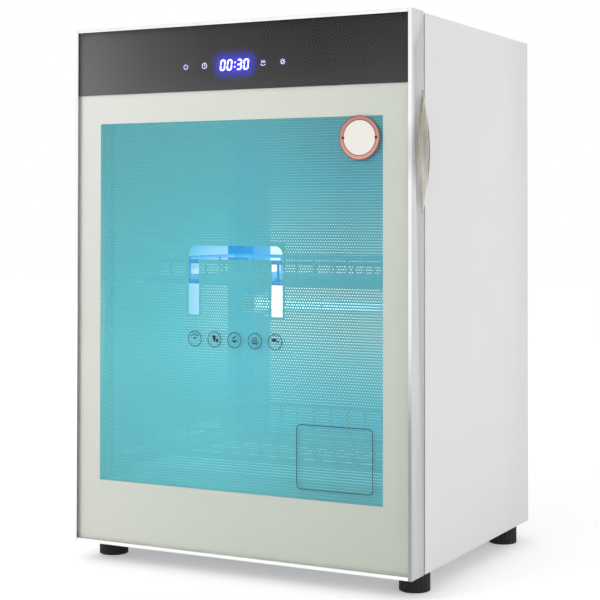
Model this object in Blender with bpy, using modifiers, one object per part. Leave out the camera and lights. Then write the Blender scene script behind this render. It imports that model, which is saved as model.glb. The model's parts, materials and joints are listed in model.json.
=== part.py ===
"""A countertop dish sterilizer cabinet, built as the real one comes apart on a bench.

Metres, +Z up. The door faces -Y, its hinge is at -X, and the feet stand on z = 0.
"""

import math

import bmesh
import bpy
from mathutils import Matrix, Vector

# Whole cabinet
WIDTH = 0.430
DOOR_HEIGHT = 0.598
DOOR_THICKNESS = 0.033
DOOR_GAP = 0.0028
BODY_DEPTH = 0.3282
BODY_TOP_DROP = 0.0015
FOOT_HEIGHT = 0.022

# Clearances that every piece shares
FIT = 0.0003
OVERRUN = 0.002

# Painted body
PANEL_SHEET = 0.001
PAN_FLANGE = 0.012
VENT_LENGTH = 0.040
VENT_HEIGHT = 0.003
VENT_PITCH = 0.008
VENT_COUNT = 6
VENT_SPACING = 0.150
LOW_VENT_HEIGHT = 0.016
HIGH_VENT_DROP = 0.072

# Feet
FOOT_RADIUS = 0.017
FOOT_FLUTES = 20
FOOT_FLUTE_DEPTH = 0.0007
FOOT_EDGE = 0.0025
FOOT_SIDE_INSET = 0.020
FOOT_FRONT_INSET = 0.0178
FOOT_BACK_INSET = 0.038

# Stainless liner
LINER_SHEET = 0.0008
LINER_SIDE_INSET = 0.024
LINER_FLOOR_RISE = 0.070
LINER_TOP_DROP = 0.022
LINER_BACK_GAP = 0.025

# Racks, rails and drip tray
RACK_SIDE_INSET = 0.044
RACK_FRONT_SETBACK = 0.020
RACK_BACK_GAP = 0.042
UPPER_RACK_RISE = 0.303
UPPER_RACK_WALL = 0.024
LOWER_RACK_RISE = 0.102
LOWER_RACK_WALL = 0.031
RIM_RADIUS = 0.0025
RACK_WIRE_RADIUS = 0.0016
RACK_CORNER = 0.018
RACK_BEND = 0.004
RACK_LONG_PITCH = 0.024
RACK_CROSS_PITCH = 0.075
WELD_SINK = 0.0009
RAIL_SHEET = 0.0012
RAIL_LEG = 0.011
RAIL_OVERLAP = 0.013
RAIL_SETBACK = 0.006
TRAY_HEIGHT = 0.014
TRAY_WALL = 0.001
TRAY_SIDE_GAP = 0.004

# Ultraviolet lamp
LAMP_RISE = 0.263
LAMP_RADIUS = 0.0078
LAMP_BACK_GAP = 0.024
SOCKET_LENGTH = 0.016
SOCKET_SIDE_GAP = 0.0307
SOCKET_RADIUS = 0.013
GUARD_WIRE_RADIUS = 0.0013
GUARD_CLEARANCE = 0.006
GUARD_END_INSET = 0.018
GUARD_HOOPS = 4

# Warm air: duct, heater and fan
DUCT_WIDTH = 0.057
DUCT_DEPTH = 0.010
DUCT_TOP_GAP = 0.1042
DUCT_SHEET = 0.0008
DUCT_SLOT_LENGTH = 0.030
DUCT_SLOT_HEIGHT = 0.0035
DUCT_SLOT_PITCH = 0.045
DUCT_SLOT_RISE = 0.060
HEATER_WIDTH = 0.060
HEATER_REACH = 0.052
HEATER_SHEET = 0.001
CORE_DEPTH = 0.016
CORE_HEIGHT = 0.050
CORE_SETBACK = 0.004
CORE_FINS = 8
CORE_FIN = 0.0015
FAN_SIZE = 0.056
FAN_DEPTH = 0.015
FAN_RIM = 0.002
FAN_TIP_GAP = 0.001
FAN_HUB_RADIUS = 0.010
FAN_BOSS_DEPTH = 0.004
FAN_SPOKE = 0.003
FAN_SHAFT_RADIUS = 0.0015
FAN_BLADES = 7
FAN_BLADE_CHORD = 0.010
FAN_BLADE_SHEET = 0.0012
FAN_HUB_SINK = 0.002

# Electrics on the base pan and at the back
BOARD_SHEET = 0.0016
POWER_BOARD_WIDTH = 0.070
POWER_BOARD_DEPTH = 0.100
POWER_BOARD_STANDOFF = 0.008
POWER_BOARD_STANDOFF_RADIUS = 0.003
POWER_BOARD_SIDE_GAP = 0.030
POWER_BOARD_FRONT_GAP = 0.110
TRANSFORMER_SIZE = 0.026
RELAY_WIDTH = 0.014
RELAY_LENGTH = 0.028
RELAY_HEIGHT = 0.016
BALLAST_WIDTH = 0.030
BALLAST_LENGTH = 0.110
BALLAST_HEIGHT = 0.024
BALLAST_FOOT_LENGTH = 0.010
BALLAST_FOOT_SHEET = 0.002
GLAND_SIDE_GAP = 0.050
GLAND_RISE = 0.040
GLAND_BODY_RADIUS = 0.0075
GLAND_FLANGE_RADIUS = 0.011
GLAND_NUT_DEPTH = 0.005
GLAND_FLANGE_DEPTH = 0.003
GLAND_NOSE_DEPTH = 0.003
GLAND_BORE_RADIUS = 0.004
SENSOR_WIDTH = 0.010
SENSOR_DEPTH = 0.008
SENSOR_HEIGHT = 0.024
SENSOR_RISE = 0.0462

# Hinge
PIVOT_SIDE = 0.008
PIVOT_BACK = 0.012
HINGE_PLATE = 0.002
HINGE_NOSE_RADIUS = 0.0075
HINGE_PLATE_REACH = 0.036
HINGE_RUNNING_GAP = 0.0007
PIN_RADIUS = 0.003
PIN_LENGTH = 0.012
PIN_HEAD_RADIUS = 0.005
PIN_HEAD = 0.0012
PIN_PLAY = 0.0001
BUSH_LENGTH = 0.016

# Aluminium door frame
FRAME_WIDTH = 0.024
FRAME_WALL = 0.0015
LIP_WIDTH = 0.004
LIP_THICKNESS = 0.0012
FRONT_EDGE_RADIUS = 0.0006
BACK_EDGE_RADIUS = 0.0014
MID_RAIL_WIDTH = 0.012
MID_RAIL_DEPTH = 0.010

# Door glass and the films behind it
GLASS_THICKNESS = 0.004
FILM_THICKNESS = 0.0004
BAND_HEIGHT = 0.078
WINDOW_LEFT_MARGIN = 0.0335
WINDOW_RIGHT_MARGIN = 0.035
WINDOW_TOP_MARGIN = 0.0335
WINDOW_BOTTOM_MARGIN = 0.0735
ARCH_WIDTH = 0.1203
ARCH_HEIGHT = 0.0775
ARCH_BAR = 0.0153
ARCH_LEG = 0.0135
ARCH_CORNER = 0.0095
ARCH_RISE = 0.1955
ARCH_OFFSET = -0.0001

# Finger cup in the right stile
CUP_DROP = 0.1497
CUP_LENGTH = 0.131
CUP_REACH = 0.0145
CUP_FLARE = 0.007
CUP_DEPTH = 0.014
CUP_WALL = 0.0012
CUP_END_MARGIN = 0.003
CUP_FLARE_LENGTH_SHARE = 0.96

# Gasket and catch
GASKET_INSET = 0.012
GASKET_WIDTH = 0.008
CATCH_INSET = 0.0025
CATCH_WIDTH = 0.008
CATCH_HEIGHT = 0.036
CATCH_SHEET = 0.0012
MAGNET_DEPTH = 0.010

# Control unit in the door
HOUSING_WALL = 0.002
HOUSING_BACK_SETBACK = 0.003
HOUSING_END_GAP = 0.020
CONTROL_BOARD_GAP = 0.0068
DISPLAY_WIDTH = 0.048
DISPLAY_HEIGHT = 0.022
DISPLAY_OFFSET = 0.0001

# Counts of straight steps in round shapes
CORNER_STEPS = 4
ROUND_STEPS = 32
ARC_STEPS = 16

# Places worked out from the sizes above
HALF_WIDTH = WIDTH / 2
FRONT_Y = -(DOOR_THICKNESS + DOOR_GAP + BODY_DEPTH) / 2
DOOR_BACK_Y = FRONT_Y + DOOR_THICKNESS
BODY_FRONT_Y = DOOR_BACK_Y + DOOR_GAP
BODY_BACK_Y = BODY_FRONT_Y + BODY_DEPTH
DOOR_BOTTOM_Z = FOOT_HEIGHT
DOOR_TOP_Z = DOOR_BOTTOM_Z + DOOR_HEIGHT
BODY_BOTTOM_Z = FOOT_HEIGHT
BODY_TOP_Z = DOOR_TOP_Z - BODY_TOP_DROP
PANEL_HALF = HALF_WIDTH - PANEL_SHEET - FIT
INNER_FRONT_Y = BODY_FRONT_Y + PANEL_SHEET + FIT
INNER_BACK_Y = BODY_BACK_Y - PANEL_SHEET - FIT
PAN_TOP_Z = BODY_BOTTOM_Z + PANEL_SHEET
CAVITY_HALF = HALF_WIDTH - LINER_SIDE_INSET
CAVITY_FLOOR_Z = BODY_BOTTOM_Z + LINER_FLOOR_RISE
CAVITY_TOP_Z = BODY_TOP_Z - LINER_TOP_DROP
CAVITY_BACK_Y = BODY_BACK_Y - LINER_BACK_GAP
RACK_HALF = HALF_WIDTH - RACK_SIDE_INSET
RACK_FRONT_Y = BODY_FRONT_Y + RACK_FRONT_SETBACK
RACK_BACK_Y = CAVITY_BACK_Y - RACK_BACK_GAP
LAMP_Z = BODY_BOTTOM_Z + LAMP_RISE
LAMP_Y = CAVITY_BACK_Y - LAMP_BACK_GAP
LAMP_HALF = CAVITY_HALF - SOCKET_SIDE_GAP - SOCKET_LENGTH - FIT
PIVOT_X = -HALF_WIDTH + PIVOT_SIDE
PIVOT_Y = DOOR_BACK_Y - PIVOT_BACK
REBATE = LIP_THICKNESS + FIT + GLASS_THICKNESS + FIT + FILM_THICKNESS + FIT
GLASS_FRONT_Y = FRONT_Y + LIP_THICKNESS + FIT
GLASS_HALF = HALF_WIDTH - FRAME_WALL - FIT
FRAME_HALF = HALF_WIDTH - FRAME_WIDTH - FIT
BAND_BOTTOM_Z = DOOR_TOP_Z - BAND_HEIGHT
CUP_Z = DOOR_TOP_Z - CUP_DROP
HEATER_FRONT_Y = CAVITY_BACK_Y - HEATER_REACH
HEATER_BACK_Y = CAVITY_BACK_Y + DUCT_SHEET
FAN_BACK_Y = HEATER_FRONT_Y - FIT
FAN_Z = PAN_TOP_Z + FIT + FAN_SIZE / 2

# How a flat outline's two directions and its thickness lie for each axis of a prism
PRISM_TURNS = {
    "X": Matrix(((0, 0, 1), (1, 0, 0), (0, 1, 0))),
    "Y": Matrix(((1, 0, 0), (0, 0, -1), (0, 1, 0))),
    "Z": Matrix.Identity(3),
}

# Finishes: colour as written in the photograph's own sRGB, roughness, metallic, transmission
FINISHES = {
    "white_paint": ("#e0e0e0", 0.45, 0.0, 0.0),
    "aluminium": ("#c3c5c9", 0.32, 1.0, 0.0),
    "stainless": ("#c9ccce", 0.28, 1.0, 0.0),
    "zinc_steel": ("#a9adb0", 0.40, 1.0, 0.0),
    "black_rubber": ("#151513", 0.75, 0.0, 0.0),
    "black_plastic": ("#1c1c1e", 0.50, 0.0, 0.0),
    "grey_plastic": ("#9a9c9e", 0.50, 0.0, 0.0),
    "clear_glass": ("#f2f7f6", 0.03, 0.0, 0.9),
    "dark_glass": ("#3f3f3f", 0.08, 0.0, 0.0),
    "cream_film": ("#d3d5cc", 0.35, 0.0, 0.0),
    "teal_film": ("#5fb9c4", 0.35, 0.0, 0.0),
    "quartz_tube": ("#8fd0ff", 0.10, 0.0, 0.4),
    "board_green": ("#2f6b45", 0.60, 0.0, 0.0),
    "display_black": ("#101014", 0.25, 0.0, 0.0),
    "ceramic": ("#d9d4c8", 0.70, 0.0, 0.0),
}


def clear_scene():
    for obj in list(bpy.data.objects):
        bpy.data.objects.remove(obj)


def new_collection(name):
    collection = bpy.data.collections.new(name)
    bpy.context.scene.collection.children.link(collection)
    return collection


clear_scene()
PARTS = new_collection("dish_sterilizer_cabinet")
CUTTERS = new_collection("cutters")


def linear(channel):
    if channel <= 0.04045:
        return channel / 12.92
    return ((channel + 0.055) / 1.055) ** 2.4


def colour(code):
    pairs = (code[1:3], code[3:5], code[5:7])
    return tuple(linear(int(pair, 16) / 255) for pair in pairs) + (1.0,)


def finish_material(name, finish):
    code, roughness, metallic, transmission = FINISHES[finish]
    material = bpy.data.materials.new(f"{name}_{finish}")
    material.use_nodes = True
    shader = material.node_tree.nodes["Principled BSDF"]
    shader.inputs["Base Color"].default_value = colour(code)
    shader.inputs["Roughness"].default_value = roughness
    shader.inputs["Metallic"].default_value = metallic
    shader.inputs["Transmission Weight"].default_value = transmission
    return material


def move_to(obj, collection):
    for old in list(obj.users_collection):
        old.objects.unlink(obj)
    collection.objects.link(obj)


def settle(obj, name, finish=None, carrier=None):
    """Name an object and make it a piece with a finish, or a cutter when it has none."""
    obj.name = name
    if finish is None:
        move_to(obj, CUTTERS)
        obj.hide_render = True
        obj.display_type = "WIRE"
        return obj
    move_to(obj, PARTS)
    obj.data.materials.clear()
    obj.data.materials.append(finish_material(name, finish))
    if carrier is not None:
        obj.parent = carrier
        obj.matrix_parent_inverse = carrier.matrix_world.inverted()
    return obj


def axis_empty(name, place):
    """An empty on a joint's axis, which carries the pieces that move about it."""
    empty = bpy.data.objects.new(name, None)
    empty.location = place
    PARTS.objects.link(empty)
    bpy.context.view_layer.update()
    return empty


def block(name, low, high, finish=None, carrier=None):
    low = Vector(low)
    high = Vector(high)
    bpy.ops.mesh.primitive_cube_add(size=1, location=(low + high) / 2)
    obj = bpy.context.object
    obj.data.transform(Matrix.Diagonal((*(high - low), 1)))
    return settle(obj, name, finish, carrier)


def smooth(obj):
    obj.data.shade_smooth()
    obj.data.set_sharp_from_angle(angle=math.radians(35))
    return obj


def cylinder(name, radius, low, high, axis, finish=None, carrier=None, steps=ROUND_STEPS):
    """A cylinder between two points that differ only along its axis."""
    low = Vector(low)
    high = Vector(high)
    bpy.ops.mesh.primitive_cylinder_add(
        vertices=steps, radius=radius, depth=(high - low).length, location=(low + high) / 2
    )
    obj = bpy.context.object
    obj.data.transform(PRISM_TURNS[axis].to_4x4())
    return smooth(settle(obj, name, finish, carrier))


def welded_mesh(curve_object, name):
    """The curve as a mesh with its caps welded on, in the curve's own place."""
    bpy.context.scene.collection.objects.link(curve_object)
    bpy.context.view_layer.update()
    graph = bpy.context.evaluated_depsgraph_get()
    mesh = bpy.data.meshes.new_from_object(curve_object.evaluated_get(graph))
    work = bmesh.new()
    work.from_mesh(mesh)
    bmesh.ops.remove_doubles(work, verts=work.verts, dist=FIT / ROUND_STEPS)
    bmesh.ops.recalc_face_normals(work, faces=work.faces)
    work.to_mesh(mesh)
    work.free()
    obj = bpy.data.objects.new(name, mesh)
    obj.matrix_world = curve_object.matrix_world
    bpy.context.scene.collection.objects.link(obj)
    bpy.data.objects.remove(curve_object)
    return obj


def add_spline(curve, points, closed):
    spline = curve.splines.new("POLY")
    spline.points.add(len(points) - 1)
    for spot, point in zip(spline.points, points):
        spot.co = (*point, 1)
    spline.use_cyclic_u = closed


def prism(name, outlines, axis, low, high, finish=None, carrier=None):
    """A flat outline, with any holes, that is as thick as low to high along its axis."""
    curve = bpy.data.curves.new(name, "CURVE")
    curve.dimensions = "2D"
    curve.fill_mode = "BOTH"
    curve.extrude = (high - low) / 2
    for outline in outlines:
        add_spline(curve, [(u, v, 0) for u, v in outline], True)
    flat = bpy.data.objects.new(name, curve)
    turn = PRISM_TURNS[axis]
    middle = (low + high) / 2
    centre = Vector([middle if letter == axis else 0 for letter in "XYZ"])
    flat.matrix_world = Matrix.Translation(centre) @ turn.to_4x4()
    return settle(welded_mesh(flat, name), name, finish, carrier)


def wire(name, points, radius, closed=False, finish=None, carrier=None, fineness=1):
    curve = bpy.data.curves.new(name, "CURVE")
    curve.dimensions = "3D"
    curve.bevel_depth = radius
    curve.bevel_resolution = fineness
    curve.use_fill_caps = True
    add_spline(curve, points, closed)
    bare = bpy.data.objects.new(name, curve)
    return smooth(settle(welded_mesh(bare, name), name, finish, carrier))


def carve(obj, *cutters, operation="DIFFERENCE"):
    """Cut each cutter out of a piece, or join it on, with a live Boolean modifier."""
    for cutter in cutters:
        modifier = obj.modifiers.new(cutter.name, "BOOLEAN")
        modifier.operation = operation
        modifier.solver = "EXACT"
        modifier.object = cutter
    return obj


def fuse(name, pieces, finish, carrier=None):
    """One closed body from pieces that cross each other."""
    first, *others = pieces
    operands = bpy.data.collections.new(name + "_operands")
    bpy.context.scene.collection.children.link(operands)
    for piece in others:
        move_to(piece, operands)
    modifier = first.modifiers.new("fuse", "BOOLEAN")
    modifier.operation = "UNION"
    modifier.solver = "EXACT"
    modifier.operand_type = "COLLECTION"
    modifier.collection = operands
    bpy.context.view_layer.update()
    graph = bpy.context.evaluated_depsgraph_get()
    mesh = bpy.data.meshes.new_from_object(first.evaluated_get(graph))
    fused = bpy.data.objects.new(name, mesh)
    fused.matrix_world = first.matrix_world
    bpy.context.scene.collection.objects.link(fused)
    for piece in pieces:
        bpy.data.objects.remove(piece)
    bpy.data.collections.remove(operands)
    return smooth(settle(fused, name, finish, carrier))


def rectangle(left, bottom, right, top):
    return [(left, bottom), (right, bottom), (right, top), (left, top)]


def arc(centre, radius, start_degrees, end_degrees, steps):
    points = []
    for step in range(steps + 1):
        angle = math.radians(start_degrees + (end_degrees - start_degrees) * step / steps)
        points.append((centre[0] + radius * math.cos(angle), centre[1] + radius * math.sin(angle)))
    return points


def rounded_rectangle(left, bottom, right, top, radius):
    points = arc((right - radius, bottom + radius), radius, -90, 0, CORNER_STEPS)
    points += arc((right - radius, top - radius), radius, 0, 90, CORNER_STEPS)
    points += arc((left + radius, top - radius), radius, 90, 180, CORNER_STEPS)
    points += arc((left + radius, bottom + radius), radius, 180, 270, CORNER_STEPS)
    return points


def bulge(half_length, height):
    """Points (along, height) of a shallow bow over a chord, from its low to its high end."""
    points = []
    for step in range(ARC_STEPS + 1):
        share = step * 2 / ARC_STEPS - 1
        points.append((share * half_length, height * (1 - share * share)))
    return points


def spread(length, pitch):
    """Places either side of zero, a pitch apart, that fit in a length."""
    count = max(1, int(length / pitch) + 1)
    return [(index - (count - 1) / 2) * pitch for index in range(count)]


def both_sides(side, inner, outer):
    """The low and high x of a piece that lies between two distances from the middle."""
    return min(side * inner, side * outer), max(side * inner, side * outer)


SIDES = (("left", -1), ("right", 1))


def make_outer_panels():
    for label, side in SIDES:
        low_x, high_x = both_sides(side, HALF_WIDTH - PANEL_SHEET, HALF_WIDTH)
        block(
            f"side_panel_{label}",
            (low_x, BODY_FRONT_Y, BODY_BOTTOM_Z),
            (high_x, BODY_BACK_Y, BODY_TOP_Z),
            "white_paint",
        )
    block(
        "top_panel",
        (-PANEL_HALF, INNER_FRONT_Y, BODY_TOP_Z - PANEL_SHEET),
        (PANEL_HALF, INNER_BACK_Y, BODY_TOP_Z),
        "white_paint",
    )
    pan = block(
        "base_pan",
        (-PANEL_HALF, INNER_FRONT_Y, BODY_BOTTOM_Z),
        (PANEL_HALF, INNER_BACK_Y, BODY_BOTTOM_Z + PAN_FLANGE),
        "zinc_steel",
    )
    hollow = block(
        "base_pan_hollow",
        (-PANEL_HALF + PANEL_SHEET, INNER_FRONT_Y + PANEL_SHEET, PAN_TOP_Z),
        (PANEL_HALF - PANEL_SHEET, INNER_BACK_Y - PANEL_SHEET, PAN_TOP_Z + PAN_FLANGE),
    )
    carve(pan, hollow)


def make_front_collar():
    outer = rectangle(-PANEL_HALF, BODY_BOTTOM_Z, PANEL_HALF, BODY_TOP_Z)
    inner = rectangle(-CAVITY_HALF, CAVITY_FLOOR_Z, CAVITY_HALF, CAVITY_TOP_Z)
    prism("front_collar", [outer, inner], "Y", BODY_FRONT_Y, BODY_FRONT_Y + PANEL_SHEET, "white_paint")


def vent_outlines():
    """Louvre slots of the rear cover: two groups low down and one near the top."""
    slots = []
    top_z = BODY_TOP_Z - HIGH_VENT_DROP
    low_z = BODY_BOTTOM_Z + LOW_VENT_HEIGHT
    for centre_x, start_z in ((-VENT_SPACING / 2, low_z), (VENT_SPACING / 2, low_z), (0, top_z)):
        for index in range(VENT_COUNT):
            bottom = start_z + index * VENT_PITCH
            left = centre_x - VENT_LENGTH / 2
            slots.append(rectangle(left, bottom, left + VENT_LENGTH, bottom + VENT_HEIGHT))
    return slots


def make_rear_cover():
    outer = rectangle(-PANEL_HALF, BODY_BOTTOM_Z, PANEL_HALF, BODY_TOP_Z)
    gland_x = PANEL_HALF - GLAND_SIDE_GAP
    gland_z = BODY_BOTTOM_Z + GLAND_RISE
    hole = arc((gland_x, gland_z), GLAND_BODY_RADIUS + FIT, 0, 360, ROUND_STEPS)[:-1]
    prism(
        "rear_cover",
        [outer, hole, *vent_outlines()],
        "Y",
        BODY_BACK_Y - PANEL_SHEET,
        BODY_BACK_Y,
        "white_paint",
    )
    make_cord_gland(gland_x, gland_z)


def make_cord_gland(gland_x, gland_z):
    """Nut inside, neck through the cover, flange and nose outside, and a bore for the lead."""
    nut_back = BODY_BACK_Y - PANEL_SHEET - FIT
    flange_front = BODY_BACK_Y + FIT
    flange_back = flange_front + GLAND_FLANGE_DEPTH
    nose_back = flange_back + GLAND_NOSE_DEPTH
    reaches = (
        ("nut", GLAND_FLANGE_RADIUS, nut_back - GLAND_NUT_DEPTH, nut_back),
        ("flange", GLAND_FLANGE_RADIUS, flange_front, flange_back),
        ("neck", GLAND_BODY_RADIUS, nut_back - GLAND_NUT_DEPTH / 2, nose_back),
    )
    pieces = []
    for label, radius, low_y, high_y in reaches:
        ends = (gland_x, low_y, gland_z), (gland_x, high_y, gland_z)
        pieces.append(cylinder(f"gland_{label}", radius, *ends, "Y"))
    gland = fuse("cord_gland", pieces, "black_plastic")
    bore = cylinder(
        "gland_bore",
        GLAND_BORE_RADIUS,
        (gland_x, nut_back - GLAND_NUT_DEPTH - OVERRUN, gland_z),
        (gland_x, nose_back + OVERRUN, gland_z),
        "Y",
    )
    carve(gland, bore)


def fluted_outline(centre):
    points = []
    count = FOOT_FLUTES * 2
    for index in range(count):
        radius = FOOT_RADIUS - FOOT_FLUTE_DEPTH * (index % 2)
        angle = math.tau * index / count
        points.append((centre[0] + radius * math.cos(angle), centre[1] + radius * math.sin(angle)))
    return points


def make_feet():
    """Fluted rubber feet. The front left one stands under the hinge plate and is lower by it."""
    foot_x = HALF_WIDTH - FOOT_SIDE_INSET
    for end, foot_y in (
        ("front", BODY_FRONT_Y + FOOT_FRONT_INSET),
        ("rear", BODY_BACK_Y - FOOT_BACK_INSET),
    ):
        for label, side in SIDES:
            top = BODY_BOTTOM_Z - FIT
            if (end, label) == ("front", "left"):
                top -= HINGE_PLATE + FIT
            name = f"foot_{end}_{label}"
            outline = fluted_outline((side * foot_x, foot_y))
            foot = prism(name, [outline], "Z", 0, top, "black_rubber")
            rounding = foot.modifiers.new("rounded_rims", "BEVEL")
            rounding.width = FOOT_EDGE
            rounding.segments = 2
            rounding.limit_method = "ANGLE"
            rounding.angle_limit = math.radians(60)


def make_liner():
    """Five stainless sheets that stop just short of each other at the folds."""
    for label, side in SIDES:
        low_x, high_x = both_sides(side, CAVITY_HALF, CAVITY_HALF + LINER_SHEET)
        block(
            f"liner_{label}",
            (low_x, INNER_FRONT_Y, CAVITY_FLOOR_Z + FIT),
            (high_x, CAVITY_BACK_Y - FIT, CAVITY_TOP_Z - FIT),
            "stainless",
        )
    wide = CAVITY_HALF + LINER_SHEET
    block(
        "liner_top",
        (-wide, INNER_FRONT_Y, CAVITY_TOP_Z),
        (wide, CAVITY_BACK_Y - FIT, CAVITY_TOP_Z + LINER_SHEET),
        "stainless",
    )
    floor = block(
        "liner_floor",
        (-wide, INNER_FRONT_Y, CAVITY_FLOOR_Z - LINER_SHEET),
        (wide, CAVITY_BACK_Y - FIT, CAVITY_FLOOR_Z),
        "stainless",
    )
    duct_inside = DUCT_WIDTH / 2 - DUCT_SHEET
    hatch = block(
        "floor_hatch",
        (-duct_inside, CAVITY_BACK_Y - DUCT_DEPTH + DUCT_SHEET, CAVITY_FLOOR_Z - LINER_SHEET - OVERRUN),
        (duct_inside, CAVITY_BACK_Y - DUCT_SHEET, CAVITY_FLOOR_Z + OVERRUN),
    )
    carve(floor, hatch)
    block(
        "liner_back",
        (-wide, CAVITY_BACK_Y, CAVITY_FLOOR_Z - LINER_SHEET),
        (wide, CAVITY_BACK_Y + LINER_SHEET, CAVITY_TOP_Z + LINER_SHEET),
        "stainless",
    )


def make_rack_rails():
    """Angle rails on the side walls, with a flat leg that carries the rack's outer wire."""
    inner = RACK_HALF - RAIL_OVERLAP
    outer = CAVITY_HALF - FIT
    for level, rise in (("upper", UPPER_RACK_RISE), ("lower", LOWER_RACK_RISE)):
        seat = BODY_BOTTOM_Z + rise - RIM_RADIUS - FIT
        for label, side in SIDES:
            outline = [
                (side * inner, seat - RAIL_SHEET),
                (side * outer, seat - RAIL_SHEET),
                (side * outer, seat + RAIL_LEG),
                (side * (outer - RAIL_SHEET), seat + RAIL_LEG),
                (side * (outer - RAIL_SHEET), seat),
                (side * inner, seat),
            ]
            prism(
                f"{level}_rail_{label}",
                [outline],
                "Y",
                INNER_FRONT_Y + RAIL_SETBACK,
                RACK_BACK_Y,
                "stainless",
            )


def bent_path(corners, radius):
    """A path through corners that lie in one plane, each corner turned into a short arc."""
    path = [Vector(corners[0])]
    for before, corner, after in zip(corners, corners[1:], corners[2:]):
        corner = Vector(corner)
        towards = (Vector(before) - corner).normalized()
        away = (Vector(after) - corner).normalized()
        for step in range(3):
            turn = math.radians(90) * step / 2
            reach = radius * (1 - math.sin(turn))
            other = radius * (1 - math.cos(turn))
            path.append(corner + towards * reach + away * other)
    path.append(Vector(corners[-1]))
    return path


def make_rack(name, rise, wall, carrier):
    """A welded wire basket: two rims, wires that run front to back, and wires across."""
    floor_z = BODY_BOTTOM_Z + rise
    top_z = floor_z + wall
    half = RACK_HALF - RIM_RADIUS
    front = RACK_FRONT_Y + RIM_RADIUS
    back = RACK_BACK_Y - RIM_RADIUS
    step_in = RIM_RADIUS + RACK_WIRE_RADIUS - WELD_SINK
    level = floor_z + step_in
    pieces = []
    for label, height, inset in (("rim", top_z, 0), ("base", floor_z, step_in + RACK_BEND)):
        ring = rounded_rectangle(
            -half + inset, front + inset, half - inset, back - inset, RACK_CORNER - inset
        )
        points = [(x, y, height) for x, y in ring]
        pieces.append(wire(f"{name}_{label}", points, RIM_RADIUS, closed=True))
    for index, place in enumerate(spread(2 * (half - RACK_CORNER), RACK_LONG_PITCH)):
        corners = [
            (place, front + step_in, top_z + RIM_RADIUS - WELD_SINK),
            (place, front + step_in, level),
            (place, back - step_in, level),
            (place, back - step_in, top_z + RIM_RADIUS - WELD_SINK),
        ]
        pieces.append(wire(f"{name}_long_{index}", bent_path(corners, RACK_BEND), RACK_WIRE_RADIUS))
    centre_y = (front + back) / 2
    low_level = level - 2 * RACK_WIRE_RADIUS + WELD_SINK
    for index, place in enumerate(spread(back - front - 2 * RACK_CORNER, RACK_CROSS_PITCH)):
        corners = [
            (-half + step_in, centre_y + place, top_z + RIM_RADIUS - WELD_SINK),
            (-half + step_in, centre_y + place, low_level),
            (half - step_in, centre_y + place, low_level),
            (half - step_in, centre_y + place, top_z + RIM_RADIUS - WELD_SINK),
        ]
        pieces.append(wire(f"{name}_cross_{index}", bent_path(corners, RACK_BEND), RACK_WIRE_RADIUS))
    fuse(name, pieces, "stainless", carrier)


def make_drip_tray(carrier):
    half = RACK_HALF - TRAY_SIDE_GAP
    low_z = CAVITY_FLOOR_Z + FIT
    tray = block(
        "drip_tray",
        (-half, RACK_FRONT_Y, low_z),
        (half, RACK_BACK_Y, low_z + TRAY_HEIGHT),
        "stainless",
        carrier,
    )
    hollow = block(
        "drip_tray_hollow",
        (-half + TRAY_WALL, RACK_FRONT_Y + TRAY_WALL, low_z + TRAY_WALL),
        (half - TRAY_WALL, RACK_BACK_Y - TRAY_WALL, low_z + TRAY_HEIGHT + OVERRUN),
    )
    carve(tray, hollow)


def make_lamp():
    """The ultraviolet tube, its two sockets on the back wall, and a wire guard round it."""
    half = LAMP_HALF
    cylinder(
        "uv_lamp", LAMP_RADIUS, (-half, LAMP_Y, LAMP_Z), (half, LAMP_Y, LAMP_Z), "X", "quartz_tube",
        steps=24,
    )
    for label, side in SIDES:
        low_x, high_x = both_sides(side, half + FIT, half + FIT + SOCKET_LENGTH)
        block(
            f"lamp_socket_{label}",
            (low_x, LAMP_Y - SOCKET_RADIUS, LAMP_Z - SOCKET_RADIUS),
            (high_x, CAVITY_BACK_Y - FIT, LAMP_Z + SOCKET_RADIUS),
            "ceramic",
        )
    reach = LAMP_RADIUS + GUARD_CLEARANCE
    front = LAMP_Y - reach
    ends = CAVITY_BACK_Y - FIT
    pieces = []
    for label, height in (("low", -reach / 2), ("high", reach / 2)):
        y = front + WELD_SINK
        points = [(-half + FIT, y, LAMP_Z + height), (half - FIT, y, LAMP_Z + height)]
        pieces.append(wire(f"guard_{label}", points, GUARD_WIRE_RADIUS))
    for index in range(GUARD_HOOPS):
        x = (2 * index / (GUARD_HOOPS - 1) - 1) * (half - GUARD_END_INSET)
        corners = [
            (x, ends, LAMP_Z - reach),
            (x, front - WELD_SINK, LAMP_Z - reach),
            (x, front - WELD_SINK, LAMP_Z + reach),
            (x, ends, LAMP_Z + reach),
        ]
        pieces.append(wire(f"guard_hoop_{index}", bent_path(corners, RACK_BEND), GUARD_WIRE_RADIUS))
    fuse("lamp_guard", pieces, "stainless")


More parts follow.
